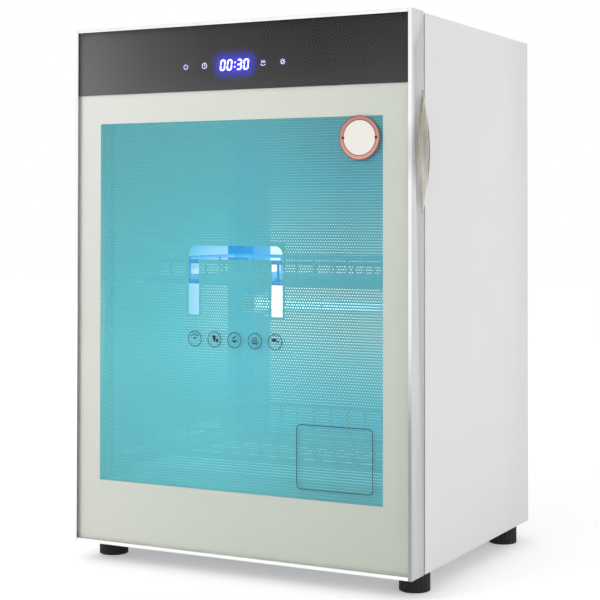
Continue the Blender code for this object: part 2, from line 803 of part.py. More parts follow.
def make_air_duct():
    """A shallow channel up the middle of the back wall, with slots that blow forwards."""
    half = DUCT_WIDTH / 2
    front = CAVITY_BACK_Y - DUCT_DEPTH
    low_z = CAVITY_FLOOR_Z + FIT
    high_z = CAVITY_TOP_Z - DUCT_TOP_GAP
    slots = int((high_z - low_z - 2 * DUCT_SLOT_RISE) / DUCT_SLOT_PITCH) + 1
    duct = block("air_duct_cover", (-half, front, low_z), (half, CAVITY_BACK_Y - FIT, high_z), "stainless")
    hollow = block(
        "duct_hollow",
        (-half + DUCT_SHEET, front + DUCT_SHEET, low_z - OVERRUN),
        (half - DUCT_SHEET, CAVITY_BACK_Y + OVERRUN, high_z - DUCT_SHEET),
    )
    cutters = [hollow]
    for index in range(slots):
        bottom = low_z + DUCT_SLOT_RISE + index * DUCT_SLOT_PITCH
        cutters.append(
            block(
                f"duct_slot_{index}",
                (-DUCT_SLOT_LENGTH / 2, front - OVERRUN, bottom),
                (DUCT_SLOT_LENGTH / 2, front + DUCT_SHEET + OVERRUN / 2, bottom + DUCT_SLOT_HEIGHT),
            )
        )
    carve(duct, *cutters)


def make_heater():
    """A box that takes air from the fan, warms it in the core and turns it up into the duct."""
    half = HEATER_WIDTH / 2
    low_z = PAN_TOP_Z + FIT
    high_z = CAVITY_FLOOR_Z - LINER_SHEET - FIT
    housing = block("heater_housing", (-half, HEATER_FRONT_Y, low_z), (half, HEATER_BACK_Y, high_z), "zinc_steel")
    hollow = block(
        "heater_hollow",
        (-half + HEATER_SHEET, HEATER_FRONT_Y - OVERRUN, low_z + HEATER_SHEET),
        (half - HEATER_SHEET, HEATER_BACK_Y - HEATER_SHEET, high_z - HEATER_SHEET),
    )
    duct_inside = DUCT_WIDTH / 2 - DUCT_SHEET
    outlet = block(
        "heater_outlet",
        (-duct_inside, CAVITY_BACK_Y - DUCT_DEPTH + DUCT_SHEET, high_z - HEATER_SHEET - OVERRUN),
        (duct_inside, CAVITY_BACK_Y - DUCT_SHEET, high_z + OVERRUN),
    )
    carve(housing, hollow, outlet)
    core_half = half - HEATER_SHEET - FIT
    core_front = HEATER_FRONT_Y + CORE_SETBACK
    core_low = low_z + HEATER_SHEET + FIT
    core = block(
        "heater_core",
        (-core_half, core_front, core_low),
        (core_half, core_front + CORE_DEPTH, core_low + CORE_HEIGHT),
        "aluminium",
    )
    pitch = (2 * core_half - CORE_FIN) / CORE_FINS
    gaps = []
    for index in range(CORE_FINS):
        left = -core_half + CORE_FIN + index * pitch
        gaps.append(
            block(
                f"core_gap_{index}",
                (left, core_front - OVERRUN, core_low + 2 * CORE_FIN),
                (left + pitch - CORE_FIN, core_front + CORE_DEPTH + OVERRUN, core_low + CORE_HEIGHT - 2 * CORE_FIN),
            )
        )
    carve(core, *gaps)


def make_fan():
    """A square fan in front of the heater, with its impeller on a stub shaft."""
    half = FAN_SIZE / 2
    front = FAN_BACK_Y - FAN_DEPTH
    bore_radius = half - FAN_RIM
    frame = block("fan_frame", (-half, front, FAN_Z - half), (half, FAN_BACK_Y, FAN_Z + half), "black_plastic")
    bore = cylinder(
        "fan_bore", bore_radius, (0, front - OVERRUN, FAN_Z), (0, FAN_BACK_Y + OVERRUN, FAN_Z), "Y"
    )
    carve(frame, bore)
    boss_front = FAN_BACK_Y - FAN_BOSS_DEPTH
    reach = bore_radius + FAN_RIM / 2
    spoke = FAN_SPOKE / 2
    boss = cylinder(
        "fan_boss", FAN_HUB_RADIUS, (0, boss_front, FAN_Z), (0, FAN_BACK_Y - FIT, FAN_Z), "Y"
    )
    inner = boss_front + FIT
    outer = FAN_BACK_Y - 2 * FIT
    level = block("fan_spoke_level", (-reach, inner, FAN_Z - spoke), (reach, outer, FAN_Z + spoke))
    upright = block("fan_spoke_upright", (-spoke, inner, FAN_Z - reach), (spoke, outer, FAN_Z + reach))
    carve(frame, boss, level, upright, operation="UNION")
    socket_radius = FAN_SHAFT_RADIUS + PIN_PLAY
    socket = cylinder(
        "fan_shaft_socket",
        socket_radius,
        (0, boss_front - OVERRUN, FAN_Z),
        (0, FAN_BACK_Y + OVERRUN, FAN_Z),
        "Y",
    )
    carve(frame, socket)

    axis = axis_empty("fan_axis", (0, front + FAN_DEPTH / 2, FAN_Z))
    hub_front = front + FIT
    hub_back = boss_front - HINGE_RUNNING_GAP
    hub = cylinder("fan_hub", FAN_HUB_RADIUS, (0, hub_front, FAN_Z), (0, hub_back, FAN_Z), "Y")
    shaft = cylinder(
        "fan_shaft", FAN_SHAFT_RADIUS, (0, hub_back - OVERRUN, FAN_Z), (0, FAN_BACK_Y - FIT, FAN_Z), "Y"
    )
    pieces = [hub, shaft]
    blade_tip = bore_radius - FAN_TIP_GAP
    blade_root = FAN_HUB_RADIUS - FAN_HUB_SINK
    middle_y = (hub_front + hub_back) / 2
    for index in range(FAN_BLADES):
        blade = block(
            f"fan_blade_{index}",
            (blade_root, -FAN_BLADE_CHORD / 2, -FAN_BLADE_SHEET / 2),
            (blade_tip, FAN_BLADE_CHORD / 2, FAN_BLADE_SHEET / 2),
        )
        along = (blade_root + blade_tip) / 2
        pitch = Matrix.Rotation(math.radians(50), 4, "X")
        turn = Matrix.Rotation(math.tau * index / FAN_BLADES, 4, "Y")
        place = Matrix.Translation((0, middle_y, FAN_Z))
        blade.matrix_world = place @ turn @ Matrix.Translation((along, 0, 0)) @ pitch
        pieces.append(blade)
    fuse("fan_impeller", pieces, "black_plastic", axis)


def make_power_board():
    """Circuit board on four standoffs, with a transformer and a relay on it."""
    right = PANEL_HALF - POWER_BOARD_SIDE_GAP
    left = right - POWER_BOARD_WIDTH
    front = INNER_FRONT_Y + POWER_BOARD_FRONT_GAP
    back = front + POWER_BOARD_DEPTH
    low_z = PAN_TOP_Z + FIT
    board_z = low_z + POWER_BOARD_STANDOFF
    top_z = board_z + BOARD_SHEET
    pieces = [block("board_plate", (left, front, board_z), (right, back, top_z))]
    inset = 2 * POWER_BOARD_STANDOFF_RADIUS
    for index, (x, y) in enumerate(rectangle(left + inset, front + inset, right - inset, back - inset)):
        ends = (x, y, low_z), (x, y, board_z + BOARD_SHEET / 2)
        pieces.append(cylinder(f"board_standoff_{index}", POWER_BOARD_STANDOFF_RADIUS, *ends, "Z", steps=12))
    sink = BOARD_SHEET / 2
    middle_x = (left + right) / 2
    pieces.append(
        block(
            "board_transformer",
            (middle_x - TRANSFORMER_SIZE / 2, front + 2 * inset, top_z - sink),
            (middle_x + TRANSFORMER_SIZE / 2, front + 2 * inset + TRANSFORMER_SIZE, top_z + TRANSFORMER_SIZE),
        )
    )
    pieces.append(
        block(
            "board_relay",
            (middle_x - RELAY_WIDTH / 2, back - 2 * inset - RELAY_LENGTH, top_z - sink),
            (middle_x + RELAY_WIDTH / 2, back - 2 * inset, top_z + RELAY_HEIGHT),
        )
    )
    fuse("power_board", pieces, "board_green")


def make_ballast():
    """The lamp's ballast: a can with a mounting foot at each end."""
    left = -PANEL_HALF + POWER_BOARD_SIDE_GAP
    right = left + BALLAST_WIDTH
    front = INNER_FRONT_Y + POWER_BOARD_FRONT_GAP
    back = front + BALLAST_LENGTH
    low_z = PAN_TOP_Z + FIT
    feet = block(
        "ballast_feet",
        (left, front - BALLAST_FOOT_LENGTH, low_z),
        (right, back + BALLAST_FOOT_LENGTH, low_z + BALLAST_FOOT_SHEET),
    )
    can = block(
        "ballast_can",
        (left + BALLAST_FOOT_SHEET, front, low_z + BALLAST_FOOT_SHEET / 2),
        (right - BALLAST_FOOT_SHEET, back, low_z + BALLAST_HEIGHT),
    )
    fuse("lamp_ballast", [feet, can], "zinc_steel")


def make_hinge(door_axis):
    """Plates on the body's top and under its pan, pins down and up into bushes in the stile."""
    half_turn = ROUND_STEPS // 2
    plate_back = BODY_FRONT_Y + HINGE_PLATE_REACH
    nose = arc((PIVOT_X, PIVOT_Y), HINGE_NOSE_RADIUS, 180, 360, half_turn)
    outline = nose + [(PIVOT_X + HINGE_NOSE_RADIUS, plate_back), (PIVOT_X - HINGE_NOSE_RADIUS, plate_back)]
    eye = arc((PIVOT_X, PIVOT_Y), PIN_RADIUS + FIT, 0, 360, ROUND_STEPS)[:-1]
    shell = FRAME_WALL + FIT
    for label, seat, up in (("top", BODY_TOP_Z + FIT, 1), ("bottom", BODY_BOTTOM_Z - FIT, -1)):
        far = seat + up * HINGE_PLATE
        prism(f"hinge_bracket_{label}", [outline, eye], "Z", min(seat, far), max(seat, far), "zinc_steel")
        stile_end = seat - up * HINGE_RUNNING_GAP
        head_low = far + up * FIT
        head = cylinder(
            f"pin_head_{label}",
            PIN_HEAD_RADIUS,
            (PIVOT_X, PIVOT_Y, min(head_low, head_low + up * PIN_HEAD)),
            (PIVOT_X, PIVOT_Y, max(head_low, head_low + up * PIN_HEAD)),
            "Z",
        )
        tip = stile_end - up * PIN_LENGTH
        root = head_low + up * PIN_HEAD / 2
        shaft = cylinder(
            f"pin_shaft_{label}",
            PIN_RADIUS,
            (PIVOT_X, PIVOT_Y, min(tip, root)),
            (PIVOT_X, PIVOT_Y, max(tip, root)),
            "Z",
        )
        fuse(f"hinge_pin_{label}", [head, shaft], "zinc_steel")
        bush_end = stile_end - up * BUSH_LENGTH
        bush = block(
            f"hinge_bush_{label}",
            (-HALF_WIDTH + shell, FRONT_Y + REBATE + shell, min(stile_end, bush_end)),
            (-HALF_WIDTH + FRAME_WIDTH - shell, DOOR_BACK_Y - shell, max(stile_end, bush_end)),
            "grey_plastic",
            door_axis,
        )
        socket = cylinder(
            f"pin_socket_{label}",
            PIN_RADIUS + PIN_PLAY,
            (PIVOT_X, PIVOT_Y, min(tip - up * OVERRUN, stile_end + up * OVERRUN)),
            (PIVOT_X, PIVOT_Y, max(tip - up * OVERRUN, stile_end + up * OVERRUN)),
            "Z",
        )
        carve(bush, socket)


def frame_section():
    """The extrusion's section, as (in from the outer edge, back from the front face)."""
    front_centre = (FRONT_EDGE_RADIUS, FRONT_EDGE_RADIUS)
    back_centre = (BACK_EDGE_RADIUS, DOOR_THICKNESS - BACK_EDGE_RADIUS)
    outline = arc(front_centre, FRONT_EDGE_RADIUS, 180, 270, CORNER_STEPS)
    outline += [
        (LIP_WIDTH, 0),
        (LIP_WIDTH, LIP_THICKNESS),
        (FRAME_WALL, LIP_THICKNESS),
        (FRAME_WALL, REBATE),
        (FRAME_WIDTH, REBATE),
        (FRAME_WIDTH, DOOR_THICKNESS),
    ]
    outline += arc(back_centre, BACK_EDGE_RADIUS, 90, 180, CORNER_STEPS)
    chamber = rectangle(
        FRAME_WALL,
        REBATE + FRAME_WALL,
        FRAME_WIDTH - FRAME_WALL,
        DOOR_THICKNESS - FRAME_WALL,
    )
    return outline, chamber


def make_stiles(door_axis):
    section = frame_section()
    stiles = {}
    for label, side in SIDES:
        outlines = [[(side * (HALF_WIDTH - u), FRONT_Y + v) for u, v in ring] for ring in section]
        stiles[label] = prism(
            f"door_stile_{label}", outlines, "Z", DOOR_BOTTOM_Z, DOOR_TOP_Z, "aluminium", door_axis
        )
    left = -HALF_WIDTH - OVERRUN
    right = -HALF_WIDTH + FRAME_WIDTH + FIT / 2
    front = FRONT_Y + REBATE - FIT
    back = DOOR_BACK_Y + OVERRUN
    top_end = BODY_TOP_Z + FIT - HINGE_RUNNING_GAP
    low_end = BODY_BOTTOM_Z - FIT + HINGE_RUNNING_GAP
    carve(
        stiles["left"],
        block("stile_notch_top", (left, front, top_end), (right, back, DOOR_TOP_Z + OVERRUN)),
        block("stile_notch_bottom", (left, front, DOOR_BOTTOM_Z - OVERRUN), (right, back, low_end)),
    )
    shell = FRAME_WALL + FIT
    for label, low_z, high_z in (
        ("top", DOOR_TOP_Z - BUSH_LENGTH, DOOR_TOP_Z),
        ("bottom", DOOR_BOTTOM_Z, DOOR_BOTTOM_Z + BUSH_LENGTH),
    ):
        block(
            f"stile_plug_{label}",
            (HALF_WIDTH - FRAME_WIDTH + shell, FRONT_Y + REBATE + shell, low_z),
            (HALF_WIDTH - shell, DOOR_BACK_Y - shell, high_z),
            "grey_plastic",
            door_axis,
        )
    make_finger_cup(stiles["right"], door_axis)


def make_finger_cup(stile, door_axis):
    """A cup behind a lens-shaped mouth in the stile, whose rear wall bulges out as a lip."""
    chord = DOOR_BACK_Y - FRAME_WALL
    mouth = [(chord - reach, CUP_Z + along) for along, reach in bulge(CUP_LENGTH / 2, CUP_REACH)]
    carve(
        stile,
        prism("cup_mouth", [mouth], "X", HALF_WIDTH - FRAME_WALL - FIT, HALF_WIDTH + OVERRUN),
    )
    outer_x = HALF_WIDTH - FRAME_WALL - FIT
    floor_x = outer_x - CUP_DEPTH
    front = FRONT_Y + REBATE + FRAME_WALL + FIT
    back = chord - FIT
    half = CUP_LENGTH / 2 + CUP_END_MARGIN
    shell = block(
        "cup_shell", (floor_x, front, CUP_Z - half), (outer_x, back, CUP_Z + half)
    )
    hollow = block(
        "cup_hollow",
        (floor_x + CUP_WALL, front + CUP_WALL, CUP_Z - half + CUP_WALL),
        (outer_x + OVERRUN, back - CUP_WALL, CUP_Z + half - CUP_WALL),
    )
    carve(shell, hollow)
    lip_root = outer_x - CUP_WALL
    lip_rise = HALF_WIDTH + CUP_FLARE - lip_root
    lip_half = CUP_FLARE_LENGTH_SHARE * CUP_LENGTH / 2
    lip_outline = [(lip_root + rise, CUP_Z + along) for along, rise in bulge(lip_half, lip_rise)]
    lip = prism("cup_lip", [lip_outline], "Y", back - CUP_WALL, back)
    fuse("handle_cup", [shell, lip], "aluminium", door_axis)


def make_rails(door_axis):
    """Top and bottom rails between the stiles, whose front lips run on past them to the corners."""
    section = frame_section()
    strip_half = HALF_WIDTH - LIP_WIDTH - FIT
    for label, edge_z, inward in (("top", DOOR_TOP_Z, -1), ("bottom", DOOR_BOTTOM_Z, 1)):
        outlines = [[(FRONT_Y + v, edge_z + inward * u) for u, v in ring] for ring in section]
        rail = prism(f"door_rail_{label}", outlines, "X", -strip_half, strip_half, "aluminium", door_axis)
        low = min(edge_z - inward * OVERRUN, edge_z + inward * (FRAME_WIDTH + OVERRUN))
        high = max(edge_z - inward * OVERRUN, edge_z + inward * (FRAME_WIDTH + OVERRUN))
        for end, side in SIDES:
            low_x, high_x = both_sides(side, FRAME_HALF, HALF_WIDTH)
            cutter = block(
                f"rail_{label}_end_{end}",
                (low_x, FRONT_Y + REBATE - FIT, low),
                (high_x, DOOR_BACK_Y + OVERRUN, high),
            )
            carve(rail, cutter)
    block(
        "door_mid_rail",
        (-FRAME_HALF, FRONT_Y + REBATE, BAND_BOTTOM_Z - MID_RAIL_WIDTH / 2),
        (FRAME_HALF, FRONT_Y + REBATE + MID_RAIL_DEPTH, BAND_BOTTOM_Z + MID_RAIL_WIDTH / 2),
        "aluminium",
        door_axis,
    )


def arch_outline(left, bottom):
    """The clear inverted U in the teal film: round outside corners, square inside ones."""
    right = left + ARCH_WIDTH
    top = bottom + ARCH_HEIGHT
    points = [(left, bottom), (left + ARCH_LEG, bottom), (left + ARCH_LEG, top - ARCH_BAR)]
    points += [(right - ARCH_LEG, top - ARCH_BAR), (right - ARCH_LEG, bottom), (right, bottom)]
    points += arc((right - ARCH_CORNER, top - ARCH_CORNER), ARCH_CORNER, 0, 90, CORNER_STEPS)
    points += arc((left + ARCH_CORNER, top - ARCH_CORNER), ARCH_CORNER, 90, 180, CORNER_STEPS)
    return points


def make_glazing(door_axis):
    glass_back = GLASS_FRONT_Y + GLASS_THICKNESS
    low_z = DOOR_BOTTOM_Z + FRAME_WALL + FIT
    high_z = DOOR_TOP_Z - FRAME_WALL - FIT
    block(
        "door_glass",
        (-GLASS_HALF, GLASS_FRONT_Y, low_z),
        (GLASS_HALF, glass_back, BAND_BOTTOM_Z - FIT),
        "clear_glass",
        door_axis,
    )
    block(
        "control_glass",
        (-GLASS_HALF, GLASS_FRONT_Y, BAND_BOTTOM_Z + FIT),
        (GLASS_HALF, glass_back, high_z),
        "dark_glass",
        door_axis,
    )
    film_front = glass_back + FIT
    film_back = film_front + FILM_THICKNESS
    left = -HALF_WIDTH + WINDOW_LEFT_MARGIN
    right = HALF_WIDTH - WINDOW_RIGHT_MARGIN
    bottom = DOOR_BOTTOM_Z + WINDOW_BOTTOM_MARGIN
    top = BAND_BOTTOM_Z - WINDOW_TOP_MARGIN
    prism(
        "window_border",
        [rectangle(-GLASS_HALF, low_z, GLASS_HALF, BAND_BOTTOM_Z - FIT), rectangle(left, bottom, right, top)],
        "Y",
        film_front,
        film_back,
        "cream_film",
        door_axis,
    )
    arch_left = (left + right - ARCH_WIDTH) / 2 + ARCH_OFFSET
    prism(
        "window_screen",
        [
            rectangle(left + FIT, bottom + FIT, right - FIT, top - FIT),
            arch_outline(arch_left, bottom + ARCH_RISE),
        ],
        "Y",
        film_front,
        film_back,
        "teal_film",
        door_axis,
    )


def make_gasket(door_axis):
    outer = HALF_WIDTH - GASKET_INSET
    inner = outer - GASKET_WIDTH
    low_z = DOOR_BOTTOM_Z + GASKET_INSET
    high_z = DOOR_TOP_Z - GASKET_INSET
    prism(
        "door_gasket",
        [
            rectangle(-outer, low_z, outer, high_z),
            rectangle(-inner, low_z + GASKET_WIDTH, inner, high_z - GASKET_WIDTH),
        ],
        "Y",
        DOOR_BACK_Y + FIT,
        BODY_FRONT_Y - FIT,
        "black_rubber",
        door_axis,
    )


def make_catch(door_axis):
    """A magnet behind the collar and the steel plate on the door that it holds."""
    outer = HALF_WIDTH - CATCH_INSET
    inner = outer - CATCH_WIDTH
    low_z = CUP_Z - CATCH_HEIGHT / 2
    high_z = CUP_Z + CATCH_HEIGHT / 2
    block(
        "catch_magnet",
        (inner, INNER_FRONT_Y, low_z),
        (outer, INNER_FRONT_Y + MAGNET_DEPTH, high_z),
        "black_plastic",
    )
    block(
        "catch_plate",
        (inner, DOOR_BACK_Y + FIT, low_z),
        (outer, DOOR_BACK_Y + FIT + CATCH_SHEET, high_z),
        "zinc_steel",
        door_axis,
    )
    sensor_low = high_z + SENSOR_RISE
    block(
        "door_sensor",
        (outer - SENSOR_WIDTH, INNER_FRONT_Y, sensor_low),
        (outer, INNER_FRONT_Y + SENSOR_DEPTH, sensor_low + SENSOR_HEIGHT),
        "grey_plastic",
    )


def make_controls(door_axis):
    """Housing behind the dark pane, the board in it, and the clock display on the board."""
    low_z = BAND_BOTTOM_Z + MID_RAIL_WIDTH / 2 + FIT
    high_z = DOOR_TOP_Z - FRAME_WIDTH - FIT
    front = FRONT_Y + REBATE
    back = DOOR_BACK_Y - HOUSING_BACK_SETBACK
    half = FRAME_HALF - HOUSING_END_GAP
    housing = block("control_housing", (-half, front, low_z), (half, back, high_z), "black_plastic", door_axis)
    hollow = block(
        "housing_hollow",
        (-half + HOUSING_WALL, front - OVERRUN, low_z + HOUSING_WALL),
        (half - HOUSING_WALL, back - HOUSING_WALL, high_z - HOUSING_WALL),
    )
    carve(housing, hollow)
    board_half = half - HOUSING_WALL - FIT
    board_front = front + CONTROL_BOARD_GAP
    board_low = low_z + HOUSING_WALL + FIT
    board_high = high_z - HOUSING_WALL - FIT
    block(
        "control_board",
        (-board_half, board_front, board_low),
        (board_half, board_front + BOARD_SHEET, board_high),
        "board_green",
        door_axis,
    )
    display_z = (board_low + board_high) / 2
    block(
        "display_module",
        (DISPLAY_OFFSET - DISPLAY_WIDTH / 2, GLASS_FRONT_Y + GLASS_THICKNESS + FIT, display_z - DISPLAY_HEIGHT / 2),
        (DISPLAY_OFFSET + DISPLAY_WIDTH / 2, board_front - FIT, display_z + DISPLAY_HEIGHT / 2),
        "display_black",
        door_axis,
    )


def main():
    make_outer_panels()
    make_front_collar()
    make_rear_cover()
    make_feet()
    make_liner()
    make_rack_rails()
    make_lamp()
    make_air_duct()
    make_heater()
    make_fan()
    make_power_board()
    make_ballast()

    upper_runner = axis_empty("upper_rack_runner", (0, RACK_FRONT_Y, BODY_BOTTOM_Z + UPPER_RACK_RISE))
    lower_runner = axis_empty("lower_rack_runner", (0, RACK_FRONT_Y, BODY_BOTTOM_Z + LOWER_RACK_RISE))
    tray_runner = axis_empty("drip_tray_runner", (0, RACK_FRONT_Y, CAVITY_FLOOR_Z))
    make_rack("upper_rack", UPPER_RACK_RISE, UPPER_RACK_WALL, upper_runner)
    make_rack("lower_rack", LOWER_RACK_RISE, LOWER_RACK_WALL, lower_runner)
    make_drip_tray(tray_runner)

    door_axis = axis_empty("door_hinge_axis", (PIVOT_X, PIVOT_Y, DOOR_BOTTOM_Z))
    make_stiles(door_axis)
    make_rails(door_axis)
    make_glazing(door_axis)
    make_gasket(door_axis)
    make_catch(door_axis)
    make_controls(door_axis)
    make_hinge(door_axis)


main()
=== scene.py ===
# %% [markdown]
# # Dressing a countertop dish sterilizer
# The cabinet comes in as a finished CAD model: bare solids in metres, with the door
# facing -Y, the hinge at -X and the feet on z = 0. This lesson gives each surface the
# finish of the real one and adds what is printed, perforated, lit or screwed on.
# We load the model first and keep its outer box, because nothing we add may leave it.

# %% Load the cabinet
import json
import math

import bmesh
import bpy
from mathutils import Matrix, Vector

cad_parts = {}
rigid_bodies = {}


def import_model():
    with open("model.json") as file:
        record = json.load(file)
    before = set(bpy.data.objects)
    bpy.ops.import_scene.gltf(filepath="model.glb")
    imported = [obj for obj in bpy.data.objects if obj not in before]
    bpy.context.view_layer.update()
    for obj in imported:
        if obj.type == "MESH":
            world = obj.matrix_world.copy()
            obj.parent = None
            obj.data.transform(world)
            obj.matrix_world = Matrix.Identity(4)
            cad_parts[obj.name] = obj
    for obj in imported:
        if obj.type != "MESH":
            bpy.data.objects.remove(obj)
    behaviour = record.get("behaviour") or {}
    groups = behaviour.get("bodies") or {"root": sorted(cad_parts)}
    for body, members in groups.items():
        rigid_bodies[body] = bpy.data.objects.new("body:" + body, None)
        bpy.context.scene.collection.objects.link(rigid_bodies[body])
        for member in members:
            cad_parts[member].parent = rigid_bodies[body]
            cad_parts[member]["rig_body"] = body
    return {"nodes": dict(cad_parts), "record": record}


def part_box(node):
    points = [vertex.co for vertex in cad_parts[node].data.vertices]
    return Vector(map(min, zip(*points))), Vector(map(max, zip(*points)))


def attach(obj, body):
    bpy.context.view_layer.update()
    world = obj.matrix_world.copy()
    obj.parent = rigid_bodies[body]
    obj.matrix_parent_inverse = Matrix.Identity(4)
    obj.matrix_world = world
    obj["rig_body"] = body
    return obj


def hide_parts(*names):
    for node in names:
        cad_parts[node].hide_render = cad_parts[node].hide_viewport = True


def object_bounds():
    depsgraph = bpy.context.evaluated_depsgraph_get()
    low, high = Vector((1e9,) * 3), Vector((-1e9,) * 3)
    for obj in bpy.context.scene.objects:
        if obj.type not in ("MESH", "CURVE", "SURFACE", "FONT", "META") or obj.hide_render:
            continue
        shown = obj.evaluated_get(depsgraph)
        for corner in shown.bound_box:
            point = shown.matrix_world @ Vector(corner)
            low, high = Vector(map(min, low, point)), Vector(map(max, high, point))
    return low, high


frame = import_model()
cad_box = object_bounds()
nodes = frame["nodes"]
scene = bpy.context.scene
MM = 0.001
print("pieces in the model:", len(nodes), "outer box:", [list(corner) for corner in cad_box])

# %% [markdown]
# ## The camera
# The picture is taken a little to the right of the cabinet, at about two thirds of its
# height, and then cropped. A lens shift does the same as the crop and leaves the upright
# edges upright. The place, the focal length and the shift come from the cabinet's corners.

# %% Stand the camera
PICTURE_WIDTH = 600
FOCAL_LENGTH_PIXELS = 1521.6
AIM_POINT_PIXELS = (300.54, 188.32)
CAMERA_PLACE = (0.850, -1.641, 0.4015)
CAMERA_TURN_DEGREES = (91.05, -0.058, 27.696)


def new_object(name, data):
    """An object in the scene that holds this camera, lamp or mesh."""
    thing = bpy.data.objects.new(name, data)
    scene.collection.objects.link(thing)
    return thing


lens = bpy.data.cameras.new("picture_camera")
lens.sensor_width = 36
lens.lens = lens.sensor_width * FOCAL_LENGTH_PIXELS / PICTURE_WIDTH
lens.shift_x = 0.5 - AIM_POINT_PIXELS[0] / PICTURE_WIDTH
lens.shift_y = AIM_POINT_PIXELS[1] / PICTURE_WIDTH - 0.5
camera = new_object("picture_camera", lens)
camera.location = CAMERA_PLACE
camera.rotation_euler = [math.radians(angle) for angle in CAMERA_TURN_DEGREES]
scene.camera = camera
scene.view_settings.view_transform = "Standard"
print("lens", round(lens.lens, 1), "mm, shift", round(lens.shift_y, 3))

# %% [markdown]
# ## Colours and nodes
# A colour read off a screen is in sRGB, but a shader works with linear light, so one
# function turns the usual six-digit code into linear numbers. A second small function
# adds a node with its settings and plugs, which keeps each material short enough to read.

# %% Two helpers for every material
def paint(code):
    """A six-digit sRGB colour as the linear colour that shaders want."""
    channels = [int(code[start : start + 2], 16) / 255 for start in (1, 3, 5)]
    flat = [c / 12.92 if c <= 0.04045 else ((c + 0.055) / 1.055) ** 2.4 for c in channels]
    return (*flat, 1.0)


def add_node(tree, kind, plugs=None, **settings):
    """A node of that kind: settings are its own fields, plugs are its inputs' values or links."""
    node = tree.nodes.new(kind)
    for field, value in settings.items():
        setattr(node, field, value)
    for name, value in (plugs or {}).items():
        if isinstance(value, bpy.types.NodeSocket):
            tree.links.new(value, node.inputs[name])
        else:
            node.inputs[name].default_value = value
    return node


print("mid grey as light:", [round(c, 3) for c in paint("#808080")])

# %% [markdown]
# A new material starts as one Principled shader wired to the output. It hands back the
# shader, the node tree and the object's own coordinates, because every pattern here is
# measured in metres on the object and not on a stretched texture map.

# %% Start a material
def new_finish(name, colour, **shader_values):
    finish = bpy.data.materials.new(name)
    finish.use_nodes = True
    tree = finish.node_tree
    tree.nodes.clear()
    plugs = {key.replace("_", " "): value for key, value in shader_values.items()}
    shader = add_node(tree, "ShaderNodeBsdfPrincipled", {"Base Color": paint(colour), **plugs})
    add_node(tree, "ShaderNodeOutputMaterial", {"Surface": shader.outputs["BSDF"]})
    place = add_node(tree, "ShaderNodeTexCoord").outputs["Object"]
    return finish, tree, shader, place


def feed(tree, shader, **patterns):
    """Links patterns to the shader's inputs, such as Base_Color=tone."""
    for name, pattern in patterns.items():
        tree.links.new(pattern, shader.inputs[name.replace("_", " ")])


def show_instead(tree, surface):
    """Wires the output to another shader than the first one."""
    output = next(node for node in tree.nodes if node.type == "OUTPUT_MATERIAL")
    tree.links.new(surface, output.inputs["Surface"])


print("a finish starts with a shader, an output and the object's coordinates")

# %% [markdown]
# Most finishes are built from the same few sentences: "take some noise of this grain size",
# "turn it into a roughness", "turn it into a colour", "let it tilt the light a little". Each
# sentence becomes a function, so a material below reads like a description of the surface.

# %% Sentences for surfaces
def grain(tree, place, across_mm, along_mm=None, along="Z", detail=3.0):
    """Noise whose spots are across_mm wide, drawn out to along_mm in one direction."""
    size = [across_mm] * 3
    size["XYZ".index(along)] = along_mm or across_mm
    plugs = {"Vector": place, "Scale": [1 / (s * MM) for s in size]}
    spread = add_node(tree, "ShaderNodeMapping", plugs)
    plugs = {"Vector": spread.outputs["Vector"], "Scale": 1.0, "Detail": detail}
    return add_node(tree, "ShaderNodeTexNoise", plugs).outputs["Fac"]


def between(tree, share, low, high, start=0.3, end=0.7):
    """A number that goes from low to high while share goes from start to end."""
    plugs = {"Value": share, "From Min": start, "From Max": end, "To Min": low, "To Max": high}
    return add_node(tree, "ShaderNodeMapRange", plugs).outputs["Result"]


def shades(tree, share, stops):
    """A colour that runs through (share, code) stops."""
    ramp = add_node(tree, "ShaderNodeValToRGB", {"Fac": share})
    marks = ramp.color_ramp.elements
    while len(marks) < len(stops):
        marks.new(1.0)
    for mark, (spot, code) in zip(marks, stops):
        mark.position = spot
        mark.color = paint(code)
    return ramp.outputs["Color"]


def mixed(tree, share, first, second, blend="MIX"):
    """The first colour, with a share of the second mixed in, multiplied or added."""
    plugs = {0: share, 6: first, 7: second}
    node = add_node(tree, "ShaderNodeMix", plugs, data_type="RGBA", blend_type=blend)
    return node.outputs[2]


def roughen(tree, shader, height, depth_mm, strength):
    """Lets a height pattern tilt the light on the surface by a real depth."""
    plugs = {"Height": height, "Distance": depth_mm * MM, "Strength": strength}
    feed(tree, shader, Normal=add_node(tree, "ShaderNodeBump", plugs).outputs["Normal"])


print("surface sentences ready")

# %% [markdown]
# Some finishes change with the place on the object, such as a glow that fades away from
# the lamp. That takes a little arithmetic on the coordinates: one step of sums, the
# distance beyond a span, and the length of three such distances put together.

# %% Sums on coordinates
def calc(tree, operation, first, second=None):
    """One step of arithmetic on numbers or sockets."""
    plugs = {0: first} if second is None else {0: first, 1: second}
    return add_node(tree, "ShaderNodeMath", plugs, operation=operation).outputs[0]


def beyond(tree, value, centre, half=0.0):
    """How far a coordinate lies outside a span about centre, and zero inside it."""
    off = calc(tree, "ABSOLUTE", calc(tree, "SUBTRACT", value, centre))
    return calc(tree, "MAXIMUM", calc(tree, "SUBTRACT", off, half), 0.0)


def distance(tree, across, back, up):
    """The length of the arrow with these three sides."""
    arrow = add_node(tree, "ShaderNodeCombineXYZ", {"X": across, "Y": back, "Z": up}).outputs[0]
    length = add_node(tree, "ShaderNodeVectorMath", {0: arrow}, operation="LENGTH")
    return length.outputs["Value"]


def xyz(tree, place):
    parts = add_node(tree, "ShaderNodeSeparateXYZ", {"Vector": place})
    return parts.outputs["X"], parts.outputs["Y"], parts.outputs["Z"]


print("coordinate sums ready")

